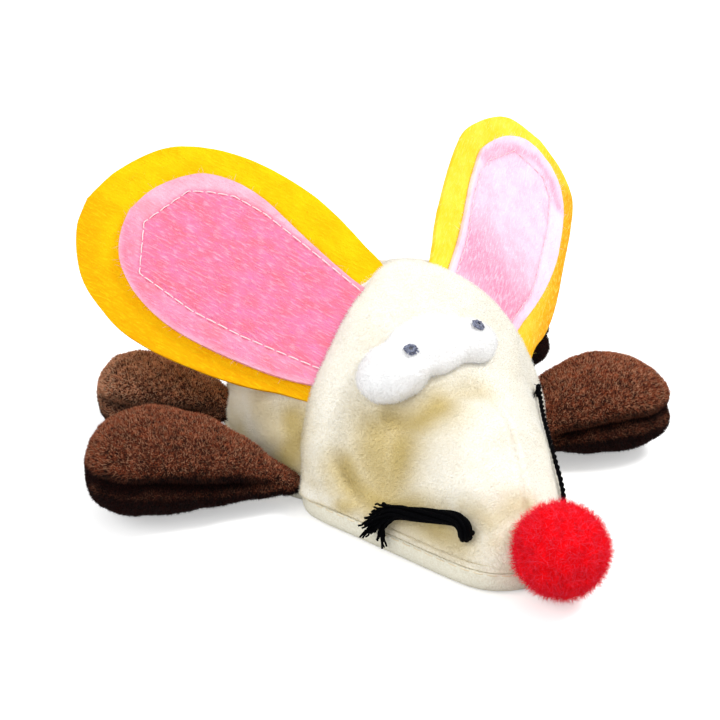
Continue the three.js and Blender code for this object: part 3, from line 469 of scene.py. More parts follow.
def bundle(route, settings, chance):
    # strands laid round the route, turning slowly as the yarn is twisted; one of many is its heart
    step, sway = 0.45, 0.25
    heart = settings["strands"] > 3
    line = evenLine(smoothLine(route, 120), step)
    ring = settings["diameter"] / 2 - settings["strandRadius"]
    lines = []
    side = Vector((0, 0, 1))
    frames = []
    for i, place in enumerate(line):
        ahead = (line[min(i + 1, len(line) - 1)] - line[max(i - 1, 0)]).normalized()
        side = (side - ahead * side.dot(ahead)).normalized()
        frames.append((place, side.copy(), ahead.cross(side)))
    for k in range(settings["strands"]):
        inner = k == 0 and heart
        phase = 2 * math.pi * k / (settings["strands"] - heart) + chance.uniform(-0.2, 0.2)
        strand = []
        for i, (place, first, second) in enumerate(frames):
            share = i / (len(frames) - 1)
            angle = phase + 2 * math.pi * settings["turns"] * share + sway * math.sin(5 * share + k)
            away = 0 if inner else ring * (0.95 + 0.1 * math.sin(9 * share + 2 * k))
            strand.append(place + (first * math.cos(angle) + second * math.sin(angle)) * away)
        lines.append(strand)
    return line, frames, lines


def frayedEnd(frames, settings, chance):
    # loose fibres that spread from the free end and sink a little, down to the lowest place allowed
    fray, lines = settings["fray"], []
    steps, sink = 8, 0.6
    for _ in range(fray["count"]):
        start = int(len(frames) * (fray["from"] + (0.97 - fray["from"]) * chance.random()))
        place, first, second = frames[min(start, len(frames) - 2)]
        ahead = (frames[min(start + 1, len(frames) - 1)][0] - place).normalized()
        angle = chance.uniform(0, 2 * math.pi)
        outward = first * math.cos(angle) + second * math.sin(angle)
        radius = settings["diameter"] / 2 * chance.uniform(0.4, 0.9)
        reach = fray["length"] * chance.uniform(0.45, 1)
        strand = []
        for i in range(steps + 1):
            share = i / steps
            drift = outward * (radius + fray["spread"] * share**1.6 * chance.uniform(0.85, 1.15))
            here = place + ahead * (reach * share) + drift
            here.z = max(fray["lowest"], here.z - sink * share**2)
            strand.append(here)
        lines.append(strand)
    return lines


blackYarn = yarnMaterial()
for side, settings in whiskerSettings.items():
    chance = random.Random(settings["seed"])
    path, frames, strands = bundle(settings["route"], settings, chance)
    ends = frayedEnd(frames, settings, chance)
    yarn = threadPiece("whisker_" + side + "Yarn", strands, settings["strandRadius"], blackYarn, sides=2)
    frayed = threadPiece("whisker_" + side + "Fray", ends, settings["fray"]["radius"], blackYarn, tipShare=0.5)
    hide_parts("whisker_" + side)

# head and body: cream velboa skins over stuffing

formSettings = {
    "hemFree": 5.3,  # folds start above this height
    "neckHalfWidth": 32.5,
    "rise": 41.5,
    "base": 5.15,
    "lean": 0.37,  # the neck seam leans back by this much for each millimetre of height
    "leanPower": 1.2,
    "neckPower": 1.3,  # a section is squarer with a lower power; this one is for the neck
    "fadePower": 4,
    "fullGrow": 0.25,  # sections narrower than this share grow less
    "head": {
        "length": 46,
        "way": -1,
        "power": 2,
        "collar": 1.3,
        "flanks": [{"side": 1, "middle": 0.42, "reach": 0.5, "power": 5, "atNeck": 0.6, "grow": -7.2}],
        "shares": [(0, 0.965, 0.985), (0.09, 1, 0.935), (0.2, 0.955, 0.815), (0.32, 0.865, 0.66), (0.45, 0.77, 0.57),
                   (0.58, 0.675, 0.505), (0.7, 0.59, 0.4), (0.8, 0.515, 0.32), (0.88, 0.445, 0.27), (0.94, 0.36, 0.23),
                   (0.98, 0.235, 0.165), (1, 0, 0)],  # how far along, half width, rise
    },
    "body": {
        "length": 59,
        "way": 1,
        "power": 1,
        "collar": 0.0,
        "flanks": [{"side": 1, "middle": 0, "reach": 0.3, "power": 5, "atNeck": 1, "grow": -2.6},
                   {"side": -1, "middle": 0.45, "reach": 0.4, "power": 1, "atNeck": 1, "grow": 2.2}],
        "shares": [(0, 0.945, 0.95), (0.08, 1.02, 0.965), (0.2, 1.06, 0.935), (0.33, 1.07, 0.89), (0.46, 1.06, 0.825),
                   (0.59, 1.02, 0.75), (0.7, 0.95, 0.665), (0.8, 0.85, 0.565), (0.88, 0.73, 0.445), (0.94, 0.57, 0.315),
                   (0.98, 0.36, 0.165), (1, 0, 0)],
    },
}


def formPoint(form, station, angle, offset=0.0):
    common = formSettings
    along, width, rise = curvePoint([Vector(r) for r in form["shares"]], station)
    growth = offset * min(1, max(0, width) / common["fullGrow"])
    half = max(0, width) * common["neckHalfWidth"] + growth
    high = max(0, rise) * common["rise"] + growth
    power = form["power"] + (common["neckPower"] - form["power"]) * max(0, 1 - along) ** common["fadePower"]
    z = common["base"] + high * max(0, math.sin(angle)) ** power
    tilt = common["lean"] * max(0, 1 - along) ** common["leanPower"]
    y = form["way"] * (along * (form["length"] + offset) + 0.15) + tilt * z
    return Vector((half * math.cos(angle), y, z))


def shapedPoint(form, station, angle, offset=0.0):
    # the sewn toy isn't quite even: one flank of the snout is slimmer, one flank of the body fuller
    place = formPoint(form, station, angle, offset)
    side = math.cos(angle)
    for flank in form["flanks"]:
        low = max(0.0, side * flank["side"]) ** flank["power"]
        away = ((station - flank["middle"]) / flank["reach"]) ** 4
        neck = flank["atNeck"] + (1 - flank["atNeck"]) * min(1, station / 0.1)
        place.x += flank["side"] * flank["grow"] * low * math.exp(-away) * neck * min(1, (1 - station) / 0.2)
    return place


velboaSettings = {
    "thickness": 1.3,
    "pileRoom": 0.45,  # the cloth lies this far under the form, the pile fills the rest
    "neckRoll": 0.8,
    "neckReach": 0.035,
    "hemRoll": 0.35,
    "hemReach": 0.1,
    "collarAt": 0.08,
    "collarWidth": 0.07,
    "seamDepth": 2.0,
    "seamRadius": 0.9,
    "steps": (150, 170),
    "lumps": [(9, 0.55, 0), (3.5, 0.16, 7)],  # size, height and what is added to the seed
    # painted shade: places that lie low and don't face up are painted darker, as are those along the shade lines
    "lowShade": {"share": 0.55, "tilt": 0.62, "tiltRange": 0.75, "top": 24, "fade": 14},
    "shadeLines": [
        {"line": [(-17.6, -9, 23.4), (-15, -11, 23.6), (-12.4, -12.5, 24.6), (-8.2, -13.5, 27)],
         "width": 5.5, "share": 1.0},
        {"line": [(-19.7, -8.9, 20.9), (-20.8, -11, 18), (-21.5, -12.9, 15.8), (-21.6, -15.1, 14), (-22.2, -17.5, 11.6)],
         "width": 7, "share": 0.95},
        {"line": [(-27.6, -5, 14.4), (-28.5, -5.5, 12.5), (-28.8, -7.3, 10.3), (-28.3, -9.2, 9.3)],
         "width": 3, "share": 0.6},
        {"line": [(-28.2, -11.9, 6.8), (-26.3, -13.6, 8.4), (-24.5, -15, 10.1)], "width": 3.2, "share": 0.9},
        {"line": [(-12, -32.7, 14.1), (-10.2, -35.5, 14), (-9.1, -38.2, 13.3), (-6.6, -38.7, 14.9), (-4.4, -38.6, 16.1),
                  (-1.6, -39.2, 16.7)], "width": 3, "share": 0.55},
        {"line": [(-8.2, -13.5, 27), (-4, -13, 28.9), (2, -13, 29.2)], "width": 3.5, "share": 0.5},
        {"line": [(-17, -12.5, 21.5), (-18.3, -14.5, 18.5), (-20.5, -16.5, 14.5), (-22.5, -18.5, 10.5)],
         "width": 7, "share": 0.95},
        {"line": [(-26.6, -7.8, 13.3), (-25.9, -11.9, 10.5), (-22.3, -18.1, 9.5), (-17.5, -25, 10), (-12.6, -34, 7.5)],
         "width": 5, "share": 1.0},
        # painted shadow of the near ear on the flank of the body
        {"line": [(-30.3, 9.5, 16.9), (-30.2, 6.6, 13.6), (-32.3, 6.7, 8.8)], "width": 5.5, "share": 1.0},
        {"line": [(-32.3, 7, 7), (-34.6, 24, 7)], "width": 4, "share": 0.8},
        {"line": [(-32.8, 18.5, 16.1), (-32.7, 14.4, 14.9), (-32.7, 11.1, 12.7)], "width": 5.5, "share": 0.7},
        {"line": [(-9, -41, 11), (-4, -43.5, 14.5), (3, -43.5, 15.5)], "width": 3.5, "share": 0.4},
    ],
    "headFolds": [
        {"line": [(-22.9, -0.4, 24.6), (-24.9, -2.8, 20.4), (-26.6, -5.6, 15.4), (-26.4, -9.9, 11.8), (-26.1, -13.8, 8.7),
                  (-25.4, -17, 7)], "depth": 0.7, "width": 1.4, "puff": 0.1},
        {"line": [(-27.4, -3.5, 16.5), (-27, -7.5, 13), (-26, -11.5, 9.8)], "depth": 0.45, "width": 1.3, "puff": 0.1},
        {"line": [(23, -1, 24.5), (25.8, -5.5, 16), (24.8, -13, 10.5), (23.6, -19.5, 7)],
         "depth": 1.2, "width": 1.7, "puff": 0.4},
        {"line": [(2.5, -16, 28.4), (2.9, -23.3, 25.8), (1.8, -29.2, 22.4), (0.2, -35.2, 18.9), (-2.7, -42.8, 14.5)],
         "depth": 0.55, "width": 0.7, "puff": 0.22, "ends": 0.1},
        {"line": [(-18.6, -7.2, 23.8), (-15.6, -9.2, 24.4), (-12.4, -11, 26), (-8.2, -12.5, 27.9), (-4, -12.3, 29.6),
                  (2, -12.6, 29.8), (6.7, -10.5, 29.5)], "depth": 1.9, "width": 3.6, "ends": 0.15},
        {"line": [(-19.4, -5, 25), (-20.4, -8, 20.8), (-22.4, -10.6, 16.5), (-24.4, -12.8, 12), (-25.6, -16, 8)],
         "depth": 0.6, "width": 5, "ends": 0.2},
        {"line": [(-16.5, -10.5, 23), (-17.5, -14, 19.3), (-20.3, -16.5, 15)], "depth": 1.5, "width": 5.5, "ends": 0},
        {"line": [(-21, -24, 9.5), (-18, -29.5, 8.6), (-14.5, -36, 7)], "depth": 0.5, "width": 1.4},
    ],
    "headSwell": [
        {"line": [(-6, -20, 26), (-9, -27, 21.5), (-9.5, -33, 17)], "depth": -1.1, "width": 5.5, "ends": 0},
        {"line": [(-3, 17, 46), (-6, 15.8, 44.8)], "depth": -1.8, "width": 4, "ends": 0},
        {"line": [(-24.5, 8, 27), (-27.8, 4.8, 20.1), (-29.2, 1.5, 15)], "depth": -0.6, "width": 6.5, "ends": 0},
        {"line": [(-31.3, 0.4, 10), (-32.1, -1.2, 7.3), (-32.3, -3.3, 6.1)], "depth": 1.0, "width": 3.5, "ends": 0},
    ],
    "bodyFolds": [
        {"line": [(-3, 17.3, 46), (-6, 16.1, 44.8)], "depth": -1.6, "width": 4, "ends": 0},
        {"line": [(0, 24, 43.5), (0, 40, 36.5), (0, 52, 25), (0, 58.4, 10)],
         "depth": 0.6, "width": 0.8, "puff": 0.25, "ends": 0.05},
        {"line": [(-29, 6, 24), (-31, 12, 17), (-31.5, 20, 11)], "depth": 0.8, "width": 2.2, "puff": 0.4},
        {"line": [(-33, 24, 17), (-33, 33, 14), (-31, 41, 9)], "depth": 0.8, "width": 2},
        {"line": [(29, 8, 25), (32, 15, 17), (32.5, 24, 12)], "depth": 1.0, "width": 2.2, "puff": 0.4},
        {"line": [(33, 30, 15), (31, 40, 10)], "depth": 0.7, "width": 2},
    ],
}


def velboaMaterial(name, light, dark, patch, tint=(255, 255, 255)):
    material, tree, shader = startMaterial(name, 0.95, Sheen_Weight=0.1, Sheen_Roughness=0.6)
    place = objectPlace(tree)
    fine = noiseAt(tree, place, 2600, 3)
    middle = noiseAt(tree, place, 700, 2)
    broad = noiseAt(tree, place, 90, 2)
    colour = mixed(tree, ranged(tree, fine, 0.35, 0.7), light, dark)
    colour = mixed(tree, ranged(tree, middle, 0.5, 0.8, 0, 0.6), colour, dark)
    colour = shaded(tree, mixed(tree, ranged(tree, broad, 0.45, 0.75, 0, 0.5), colour, patch), tint)
    finishShader(tree, shader, colour, sums(tree, "ADD", fine, middle), 0.25)
    return material


def fibreMaterial(name, root, tip, spare, sheen=0.0, patchScale=220, tint=(255, 255, 255), glow=(255, 255, 255),
                  mottle=0.2):
    # darker at the root of the pile, lighter at its tips, as painted shade down among the fibres; some fibres of the
    # spare tone
    material, tree, shader = startMaterial(name, 0.9, Sheen_Weight=sheen, Sheen_Roughness=0.5, Sheen_Tint=linear(glow))
    tone, along = attributeValue(tree, "tone"), attributeValue(tree, "along")
    patches = noiseAt(tree, objectPlace(tree), patchScale, 2)
    shade = sums(tree, "ADD", along, ranged(tree, patches, 0.3, 0.7, -mottle, mottle))
    colour = mixed(tree, ranged(tree, shade, 0.0, 0.9), root, tip)
    finishShader(tree, shader, shaded(tree, mixed(tree, ranged(tree, tone, 0.55, 1.0, 0, 0.75), colour, spare), tint))
    return material


def rolledForm(form, station, angle):
    # the edge of the skin rolls inwards at the neck seam and at the hem, and the collar is puffed
    settings = velboaSettings
    neck = max(0, 1 - station / settings["neckReach"])
    hem = max(0, 1 - math.sin(angle) / settings["hemReach"])
    fade = min(1, (1 - station) / 0.06)
    inward = settings["neckRoll"] * neck**2 + settings["hemRoll"] * hem**2 * fade
    puff = form["collar"] * math.exp(-(((station - settings["collarAt"]) / settings["collarWidth"]) ** 2))
    return shapedPoint(form, station, angle, puff - inward - settings["pileRoom"])


def makeSkin(name, form, folds, seed):
    settings = velboaSettings
    bm = wrappedGrid(*settings["steps"], lambda s, t: rolledForm(form, s**1.15, math.pi * t))
    centre = Vector((0, form["way"] * 20, 10)) * mm
    if sum((f.calc_center_median() - centre).dot(f.normal) for f in bm.faces) < 0:
        bmesh.ops.reverse_faces(bm, faces=bm.faces)
    places = placesOf(bm)
    offsets = foldOffsets(places, folds)
    for size, height, more in settings["lumps"]:
        offsets = offsets + lumps(places, size, height, seed + more)
    pushOut(bm, offsets * np.clip((places[:, 2] - formSettings["hemFree"]) / 3, 0, 1))
    bm.normal_update()
    # painted shade: places that face down and lie low, and places along the shade lines, are darker
    upness = np.array([v.normal.z for v in bm.verts])
    tone = settings["lowShade"]
    down = np.clip((tone["tilt"] - upness) / tone["tiltRange"], 0, 1)
    low = tone["share"] * down * np.clip((tone["top"] - places[:, 2]) / tone["fade"], 0, 1)
    shade = np.maximum(low, painted(places, settings["shadeLines"]))
    skin = makeObject(name, bm)
    setFloat(skin, "shade", np.clip(shade + lumps(places, 6, 0.12, seed + 3), 0, 1))
    return skin


# the colour that the painted shade on the cream velboa and its pile leans to
paintedShadeTint = (213, 196, 141)
creamVelboa = velboaMaterial("cream velboa", (255, 253, 246), (248, 242, 226), (253, 249, 238), paintedShadeTint)
creamPile = fibreMaterial("cream velboa pile", (251, 246, 230), (255, 254, 249), (254, 250, 240), sheen=0.3,
                          tint=paintedShadeTint)
headSkin = makeSkin("headSkin", formSettings["head"], velboaSettings["headFolds"] + velboaSettings["headSwell"], 2.0)
bodySkin = makeSkin("bodySkin", formSettings["body"], velboaSettings["bodyFolds"], 11.0)
print("skins made")

pileSettings = {
    "head": {"count": 62000, "length": 0.75, "width": 0.05, "spread": 0.45, "lean": (0, -0.2, -0.15), "seed": 11},
    "body": {"count": 64000, "length": 0.75, "width": 0.055, "spread": 0.45, "lean": (0, 0.2, -0.2), "seed": 23},
}
for name, skin, node in (("head", headSkin, "head_skin"), ("body", bodySkin, "body_skin")):
    pile = plantPile(name + "Pile", skin, pileSettings[name], creamPile)
    addModifier(skin, "SOLIDIFY", thickness=velboaSettings["thickness"] * mm, offset=-1)
    skin.data.materials.append(creamVelboa)
    for piece in (skin, pile):
        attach(piece, "root")
    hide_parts(node)
# the seam between them is drawn in, halfway between the two edges
necks = [[shapedPoint(formSettings[name], 0, math.pi * i / 60, -velboaSettings["seamDepth"]) for i in range(1, 60)]
         for name in ("head", "body")]
seamRow = [(Vector() + a + b) / 2 for a, b in zip(*necks)]
neckSeam = threadPiece("neckSeam", [seamRow], velboaSettings["seamRadius"], creamVelboa, sides=3)
print("pile planted on head and body, neck seam laid between them")

# stuffing inside them

stuffingSettings = {
    "closing": 0.06,  # the share of the length in which each end is drawn in to a point
    "steps": (44, 48),
    "forms": {
        "head": {"inset": 6.2, "floor": 6.5, "start": 0.1, "end": 0.93, "lumps": 1.0},
        "body": {"inset": 5.2, "floor": 19.5, "start": 0.03, "end": 0.8, "lumps": 1.1},
    },
}


def stuffedPoint(form, settings, s, t):
    closing = stuffingSettings["closing"]
    along = min(1, max(0, (s - closing) / (1 - 2 * closing)))
    station = settings["start"] + (settings["end"] - settings["start"]) * along
    centre = Vector((0, shapedPoint(form, station, math.pi / 2).y * 0.8, settings["floor"] + 1))
    outer = shapedPoint(form, station, math.pi * t, -settings["inset"])
    return centre.lerp(outer, min(1, s / closing, (1 - s) / closing))


def fillingMaterial():
    material, tree, shader = startMaterial("polyester filling", 0.9, Sheen_Weight=0.4)
    place = objectPlace(tree)
    strands = noiseAt(tree, place, 500, 5, stretch=(1, 0.25, 1), turn=(0.4, 0.2, 0.7))
    finishShader(tree, shader, mixed(tree, strands, (228, 230, 232), (250, 250, 250)), strands, 0.8)
    return material


filling = fillingMaterial()
for name, settings in stuffingSettings["forms"].items():
    form = formSettings[name]
    bm = wrappedGrid(*stuffingSettings["steps"], lambda s, t: stuffedPoint(form, settings, s, t))
    bmesh.ops.bisect_plane(bm, geom=[*bm.verts, *bm.edges, *bm.faces], plane_co=(0, 0, settings["floor"] * mm),
                           plane_no=(0, 0, 1), clear_inner=True)
    bmesh.ops.holes_fill(bm, edges=[e for e in bm.edges if e.is_boundary])
    bmesh.ops.triangulate(bm, faces=[f for f in bm.faces if len(f.verts) > 4])
    bmesh.ops.recalc_face_normals(bm, faces=bm.faces)
    pushOut(bm, -np.abs(lumps(placesOf(bm), 5, settings["lumps"], 4.0)))
    stuffing = makeObject(name + "Stuffing", bm, filling)
    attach(stuffing, "root")
    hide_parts(name + "_stuffing")
print("stuffing made")

# belly panel: flat, sewn round its edge, open over the battery door

bellySettings = {
    "rim": 5.05,  # the height at which it meets the skins
    "hem": 3.0,  # the round on which its edge turns up
    "thickness": 1.3,
    "opening": {"halfX": 17.3, "halfY": 20.3, "middle": 27.0, "power": 9},
    "flatShare": 0.7,  # of the steps, those that lie flat
    "turnShare": 0.6,  # of the rest, those in the round
    "steps": (34, 260),
    "size": (0.0695, 0.1053),  # metres
    "stitch": 1.7,
    "stitchGap": 1.1,
}


def outlineLoop(count):
    # the lower edge of head and body, all the way round
    sides = []
    for name, angle in (("head", math.pi), ("head", 0), ("body", 0), ("body", math.pi)):
        row = [shapedPoint(formSettings[name], i / 60, angle) for i in range(61)]
        sides.append([Vector((p.x, p.y, 0)) for p in row])
    loop = sides[0] + sides[1][::-1] + sides[2] + sides[3][::-1]
    loop.append(loop[0])
    clean = [loop[0]] + [b for a, b in zip(loop[:-1], loop[1:]) if (b - a).length > 0.05]
    return evenLine(clean, sum((b - a).length for a, b in zip(clean[:-1], clean[1:])) / count)


def openingPoint(direction):
    # the edge of the opening over the capsule, a square with round corners
    hole = bellySettings["opening"]
    angle = math.atan2(direction.y - hole["middle"], direction.x)
    c, s, power = math.cos(angle), math.sin(angle), hole["power"]
    radius = 1 / ((abs(c) / hole["halfX"]) ** power + (abs(s) / hole["halfY"]) ** power) ** (1 / power)
    return Vector((radius * c, hole["middle"] + radius * s, 0))


def bellyPoint(loop, s, t):
    settings = bellySettings
    place = t * (len(loop) - 1) % (len(loop) - 1)  # the end of the loop is its start
    index = int(place)
    edge = loop[index].lerp(loop[index + 1], place - index)
    ahead = (loop[(index + 3) % (len(loop) - 1)] - loop[(index - 2) % (len(loop) - 1)]).normalized()
    inward = Vector((-ahead.y, ahead.x, 0))
    if inward.dot(Vector((0, 5, 0)) - edge) < 0:
        inward = -inward
    hem, flatShare, turnShare = settings["hem"], settings["flatShare"], settings["turnShare"]
    flat = edge + inward * hem
    if s < flatShare:
        return openingPoint(flat).lerp(flat, (s / flatShare) ** 0.9)
    turn = (s - flatShare) / (1 - flatShare)
    if turn < turnShare:
        angle = math.pi / 2 * turn / turnShare
        return flat + Vector((0, 0, hem * (1 - math.cos(angle)))) - inward * (hem * math.sin(angle))
    return edge + Vector((0, 0, hem + (settings["rim"] - hem) * (turn - turnShare) / (1 - turnShare)))


bellyVelboa = velboaMaterial("belly velboa", (242, 239, 222), (230, 224, 202), (236, 230, 210))
threadTan = threadMaterial("tan sewing thread", 0.6, ((222, 204, 168), (240, 228, 200)), 1500)
outline = outlineLoop(bellySettings["steps"][1])
bellyBm = wrappedGrid(*bellySettings["steps"], lambda s, t: bellyPoint(outline, s, t))
if sum(f.normal.z * f.calc_area() for f in bellyBm.faces) > 0:
    bmesh.ops.reverse_faces(bellyBm, faces=bellyBm.faces)
# where the hem is wider than a corner is round, a few faces cross over and would face up
folded = [f for f in bellyBm.faces if f.normal.z > 0 and f.calc_center_median().z < 0.5 * mm]
bmesh.ops.reverse_faces(bellyBm, faces=folded)
bellyPlaces = placesOf(bellyBm)
pushOut(bellyBm, -np.abs(lumps(bellyPlaces, 7, 0.25, 3.0)) * (bellyPlaces[:, 2] < 0.5))
bellyArea = sum(f.calc_area() for f in bellyBm.faces)
bellyPanel = makeObject("bellyPanel", bellyBm, bellyVelboa)
addModifier(bellyPanel, "SOLIDIFY", thickness=bellySettings["thickness"] * mm, offset=-1)
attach(bellyPanel, "root")
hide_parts("belly_panel")
seamLine = [p + Vector((0, 0, 5.0)) for p in outline]
seamRows = stitchRow(seamLine, bellySettings["stitch"], bellySettings["stitchGap"], 0.15,
                     lambda p: Vector((p.x, p.y - 5, 0)).normalized())
seamStitches = threadPiece("hemStitches", seamRows, 0.1, threadTan)
print("belly panel made, area", round(bellyArea * 1e6), "square mm")

# ears: yellow felt backs and pink felt inners, sewn together and caught in the neck seam

earSettings = {
    "felt": 1.2,
    "gap": 0.3,
    "tuck": 2.6,  # how deep the root goes into the neck seam
    "root": (16.156, 12.466, 34.097),  # this and the next three are for the ear on +X
    "out": (0.60938, 0.73169, 0.30544),
    "across": (-0.66346, 0.25964, 0.70172),
    "face": (0.43414, -0.63026, 0.64366),
    "flex": (-2.5, 4.5),  # the stretch along the ear in which the real ear bends
    "press": 0.75,  # width of the groove under the stitches
    "edgeTone": 0.8,
    "edgeWidth": 1.6,
    "stitchTone": 0.3,
    "stitchWidth": 0.6,
    "stitch": 2.5,
    "stitchGap": 0.35,
    "stitchLift": 0.35,
    "stitchSink": 0.3,
    "fuzz": {"length": 2.4, "width": 0.03, "shortest": 0.3, "spread": 1.0, "upright": 0.12, "rings": 3, "bend": 0.3},
    "layers": {
        "Back": {"node": "ear_back_", "slot": "yellow_felt", "length": 67, "width": 46, "way": -1, "groove": 0.15,
                 "steps": (90, 60), "fibres": 3000},
        "Inner": {"node": "ear_inner_", "slot": "pink_felt", "length": 58.5, "width": 32.8, "way": 1, "groove": 0.25,
                  "steps": (120, 76), "fibres": 5200},
    },
    "ears": {
        # the ear on +X faces the key lamp; its felt is the same as the other ear's, painted paler as painted light:
        # lemon yellow and lilac-white pink
        "left": {
            # both layers are shifted across by the slip; rimLow is how pale the lower rim is
            "side": 1, "slip": -1.2, "seed": 31, "thread": 0.09, "rimLow": 1.0,
            "stitches": [(-0.7, 11), (14.7, 11.1), (24.2, 12.1), (31.6, 12.5), (39.5, 12.6), (45.3, 11.3), (56.3, 5.2),
                         (56.9, 0), (56.8, -5.4), (52, -9), (41.6, -10.7), (30, -10.9), (22.5, -10.9), (16, -10.4),
                         (3.6, -7.2), (-0.7, -6.2)],
            "Back": {
                "upper": [(0, 0.365), (0.193, 0.412), (0.354, 0.43), (0.499, 0.44), (0.631, 0.44), (0.749, 0.42),
                          (0.925, 0.293), (1.01, 0.178), (1.053, -0.046)],
                "lower": [(0, -0.36), (0.06, -0.365), (0.16, -0.41), (0.264, -0.435), (0.366, -0.44), (0.584, -0.425),
                          (0.769, -0.41), (0.927, -0.365), (1.01, -0.235), (1.053, -0.046)],
                "colours": {"base": (250, 224, 66), "dark": (250, 214, 44), "light": (252, 238, 116),
                            "streak": (248, 208, 34), "rim": (250, 224, 66), "warm": (238, 142, 0)},
                "warm": [{"line": [(0, -20), (12, -21), (25, -22), (40, -21), (52, -20), (60, -17)],
                          "width": 5, "share": 1.0},
                         {"line": [(60, -17), (66, -10)], "width": 3.5, "share": 0.5}],
            },
            "Inner": {
                "upper": [(0, 0.39), (0.193, 0.393), (0.417, 0.406), (0.566, 0.427), (0.685, 0.433), (0.805, 0.427),
                          (0.923, 0.348), (1.026, 0.225), (1.085, 0.09), (1.1, -0.02)],
                "lower": [(0, -0.265), (0.041, -0.28), (0.224, -0.375), (0.395, -0.445), (0.59, -0.482), (0.742, -0.466),
                          (0.909, -0.42), (1.005, -0.341), (1.075, -0.2), (1.1, -0.02)],
                "colours": {"base": (242, 216, 236), "dark": (240, 198, 220), "light": (250, 238, 250),
                            "streak": (232, 190, 222), "rim": (247, 228, 246), "warm": (238, 136, 172)},
                "warm": [{"line": [(2, -12), (7, -5), (10, 3), (12, 11)], "width": 13, "share": 1.0},
                         {"line": [(44, 12), (52, 9), (58, 3), (60.5, -3), (58, -9), (52, -13)],
                          "width": 2.2, "share": 0.75}],
                "bare": [{"line": [(44, 12), (52, 9), (58, 3), (60.5, -3), (58, -9), (52, -13)],
                          "width": 2.0, "share": 0.9}],
            },
        },
        "right": {
            "side": -1, "slip": 0.9, "seed": 47, "thread": 0.15, "rimLow": 0.12,
            "stitches": [(-0.5, 7.2), (7.1, 8.7), (18.2, 10.6), (29.5, 12.5), (37.4, 12.7), (42.4, 11.1), (47.1, 8.9),
                         (52.0, -2.0), (46.6, -12.4), (31.7, -14.0), (19.3, -13.5), (4.5, -11.8), (-0.7, -11.2)],
            "Back": {
                "upper": [(0, 0.27), (0.028, 0.32), (0.06, 0.352), (0.127, 0.387), (0.228, 0.435), (0.35, 0.475),
                          (0.56, 0.488), (0.73, 0.44), (0.865, 0.335), (0.965, 0.12), (1, -0.07)],
                "lower": [(0, -0.39), (0.1, -0.44), (0.18, -0.48), (0.264, -0.509), (0.35, -0.53), (0.53, -0.556),
                          (0.655, -0.546), (0.73, -0.515), (0.865, -0.42), (0.975, -0.22), (1, -0.07)],
                "colours": {"base": (252, 205, 5), "dark": (249, 187, 0), "light": (253, 216, 20),
                            "streak": (247, 182, 0), "rim": (252, 205, 5), "warm": (242, 160, 0)},
                "warm": [{"line": [(0, -20), (12, -22), (24, -24), (36, -25), (48, -22), (60, -15), (67, -4)],
                          "width": 6, "share": 0.9}],
            },
            "Inner": {
                "upper": [(0, 0.25), (0.144, 0.3), (0.345, 0.38), (0.549, 0.47), (0.683, 0.476), (0.792, 0.427),
                          (0.862, 0.33), (0.93, 0.168), (0.965, -0.03)],
                "lower": [(0, -0.43), (0.0615, -0.485), (0.1, -0.512), (0.164, -0.537), (0.243, -0.558), (0.407, -0.588),
                          (0.583, -0.588), (0.712, -0.543), (0.813, -0.468), (0.9, -0.345), (0.948, -0.19),
                          (0.965, -0.03)],
                "colours": {"base": (236, 128, 168), "dark": (237, 118, 143), "light": (246, 190, 213),
                            "streak": (227, 126, 195), "rim": (250, 202, 218), "warm": (243, 122, 148)},
                "warm": [],
            },
        },
    },
}


def earFrame(side):
    # where the ear is rooted, and the ways along it, across it and out of its face
    return [Vector((side * x, y, z)) for x, y, z in (earSettings[key] for key in ("root", "out", "across", "face"))]


def earPoint(side, along, across, height):
    root, out, upward, face = earFrame(side)
    broad = 0.5 * math.sin(along / 11 + side) * math.cos(across / 13)
    ripple = broad + 0.35 * math.sin(across / 7 + 1.3 * side + along / 23)
    held = min(1, max(0, along / 12))  # the root lies flat in the neck seam
    return root + out * along + upward * across + face * (height + ripple * held)


def halfEdge(shares, layer, slip):
    # one side of the outline, from root to tip, as a function of the share of its length
    rows = [(a * layer["length"], w * layer["width"] + slip, 0) for a, w in shares]
    line = evenLine(smoothLine(rows, 200), 0.3)
    steps = len(line) - 1
    return lambda t: line[min(steps, int(t * steps))].lerp(line[min(steps, int(t * steps) + 1)], t * steps % 1)


def feltMaterial(name, colours):
    # "rim" and "warm" are painted on the felt: paler outside the stitches, warmer along some lines
    material, tree, shader = startMaterial(name, 0.95)
    base, dark, light, streak, rim, warm = (colours[key] for key in ("base", "dark", "light", "streak", "rim", "warm"))
    cut = addNode(tree, "ShaderNodeUVMap", uv_map="feltCut").outputs[0]
    streaks = noiseAt(tree, cut, 26, 5, stretch=(1, 5.5, 1), turn=(0, 0, 0.12), rough=0.62)
    crossing = noiseAt(tree, cut, 30, 4, stretch=(1, 5, 1), turn=(0, 0, -0.7), rough=0.6)
    patches = noiseAt(tree, cut, 9, 2, stretch=(1, 1.6, 1))
    fine = noiseAt(tree, cut, 130, 3)
    rimShare = sums(tree, "MULTIPLY", attributeValue(tree, "rim"), ranged(tree, patches, 0.3, 0.6, 0.85, 0.55))
    warmShare = sums(tree, "MULTIPLY", attributeValue(tree, "warm"), ranged(tree, crossing, 0.3, 0.65, 1.0, 0.65))
    colour = mixed(tree, ranged(tree, patches, 0.38, 0.64), base, dark)
    colour = mixed(tree, warmShare, colour, warm)
    colour = mixed(tree, ranged(tree, streaks, 0.5, 0.72, 0, 0.75), colour, light)
    colour = mixed(tree, ranged(tree, crossing, 0.54, 0.72, 0, 0.65), colour, streak)
    colour = mixed(tree, ranged(tree, fine, 0.62, 0.8, 0, 0.3), colour, light)
    finishShader(tree, shader, mixed(tree, rimShare, colour, rim), sums(tree, "ADD", streaks, fine), 0.2)
    return material


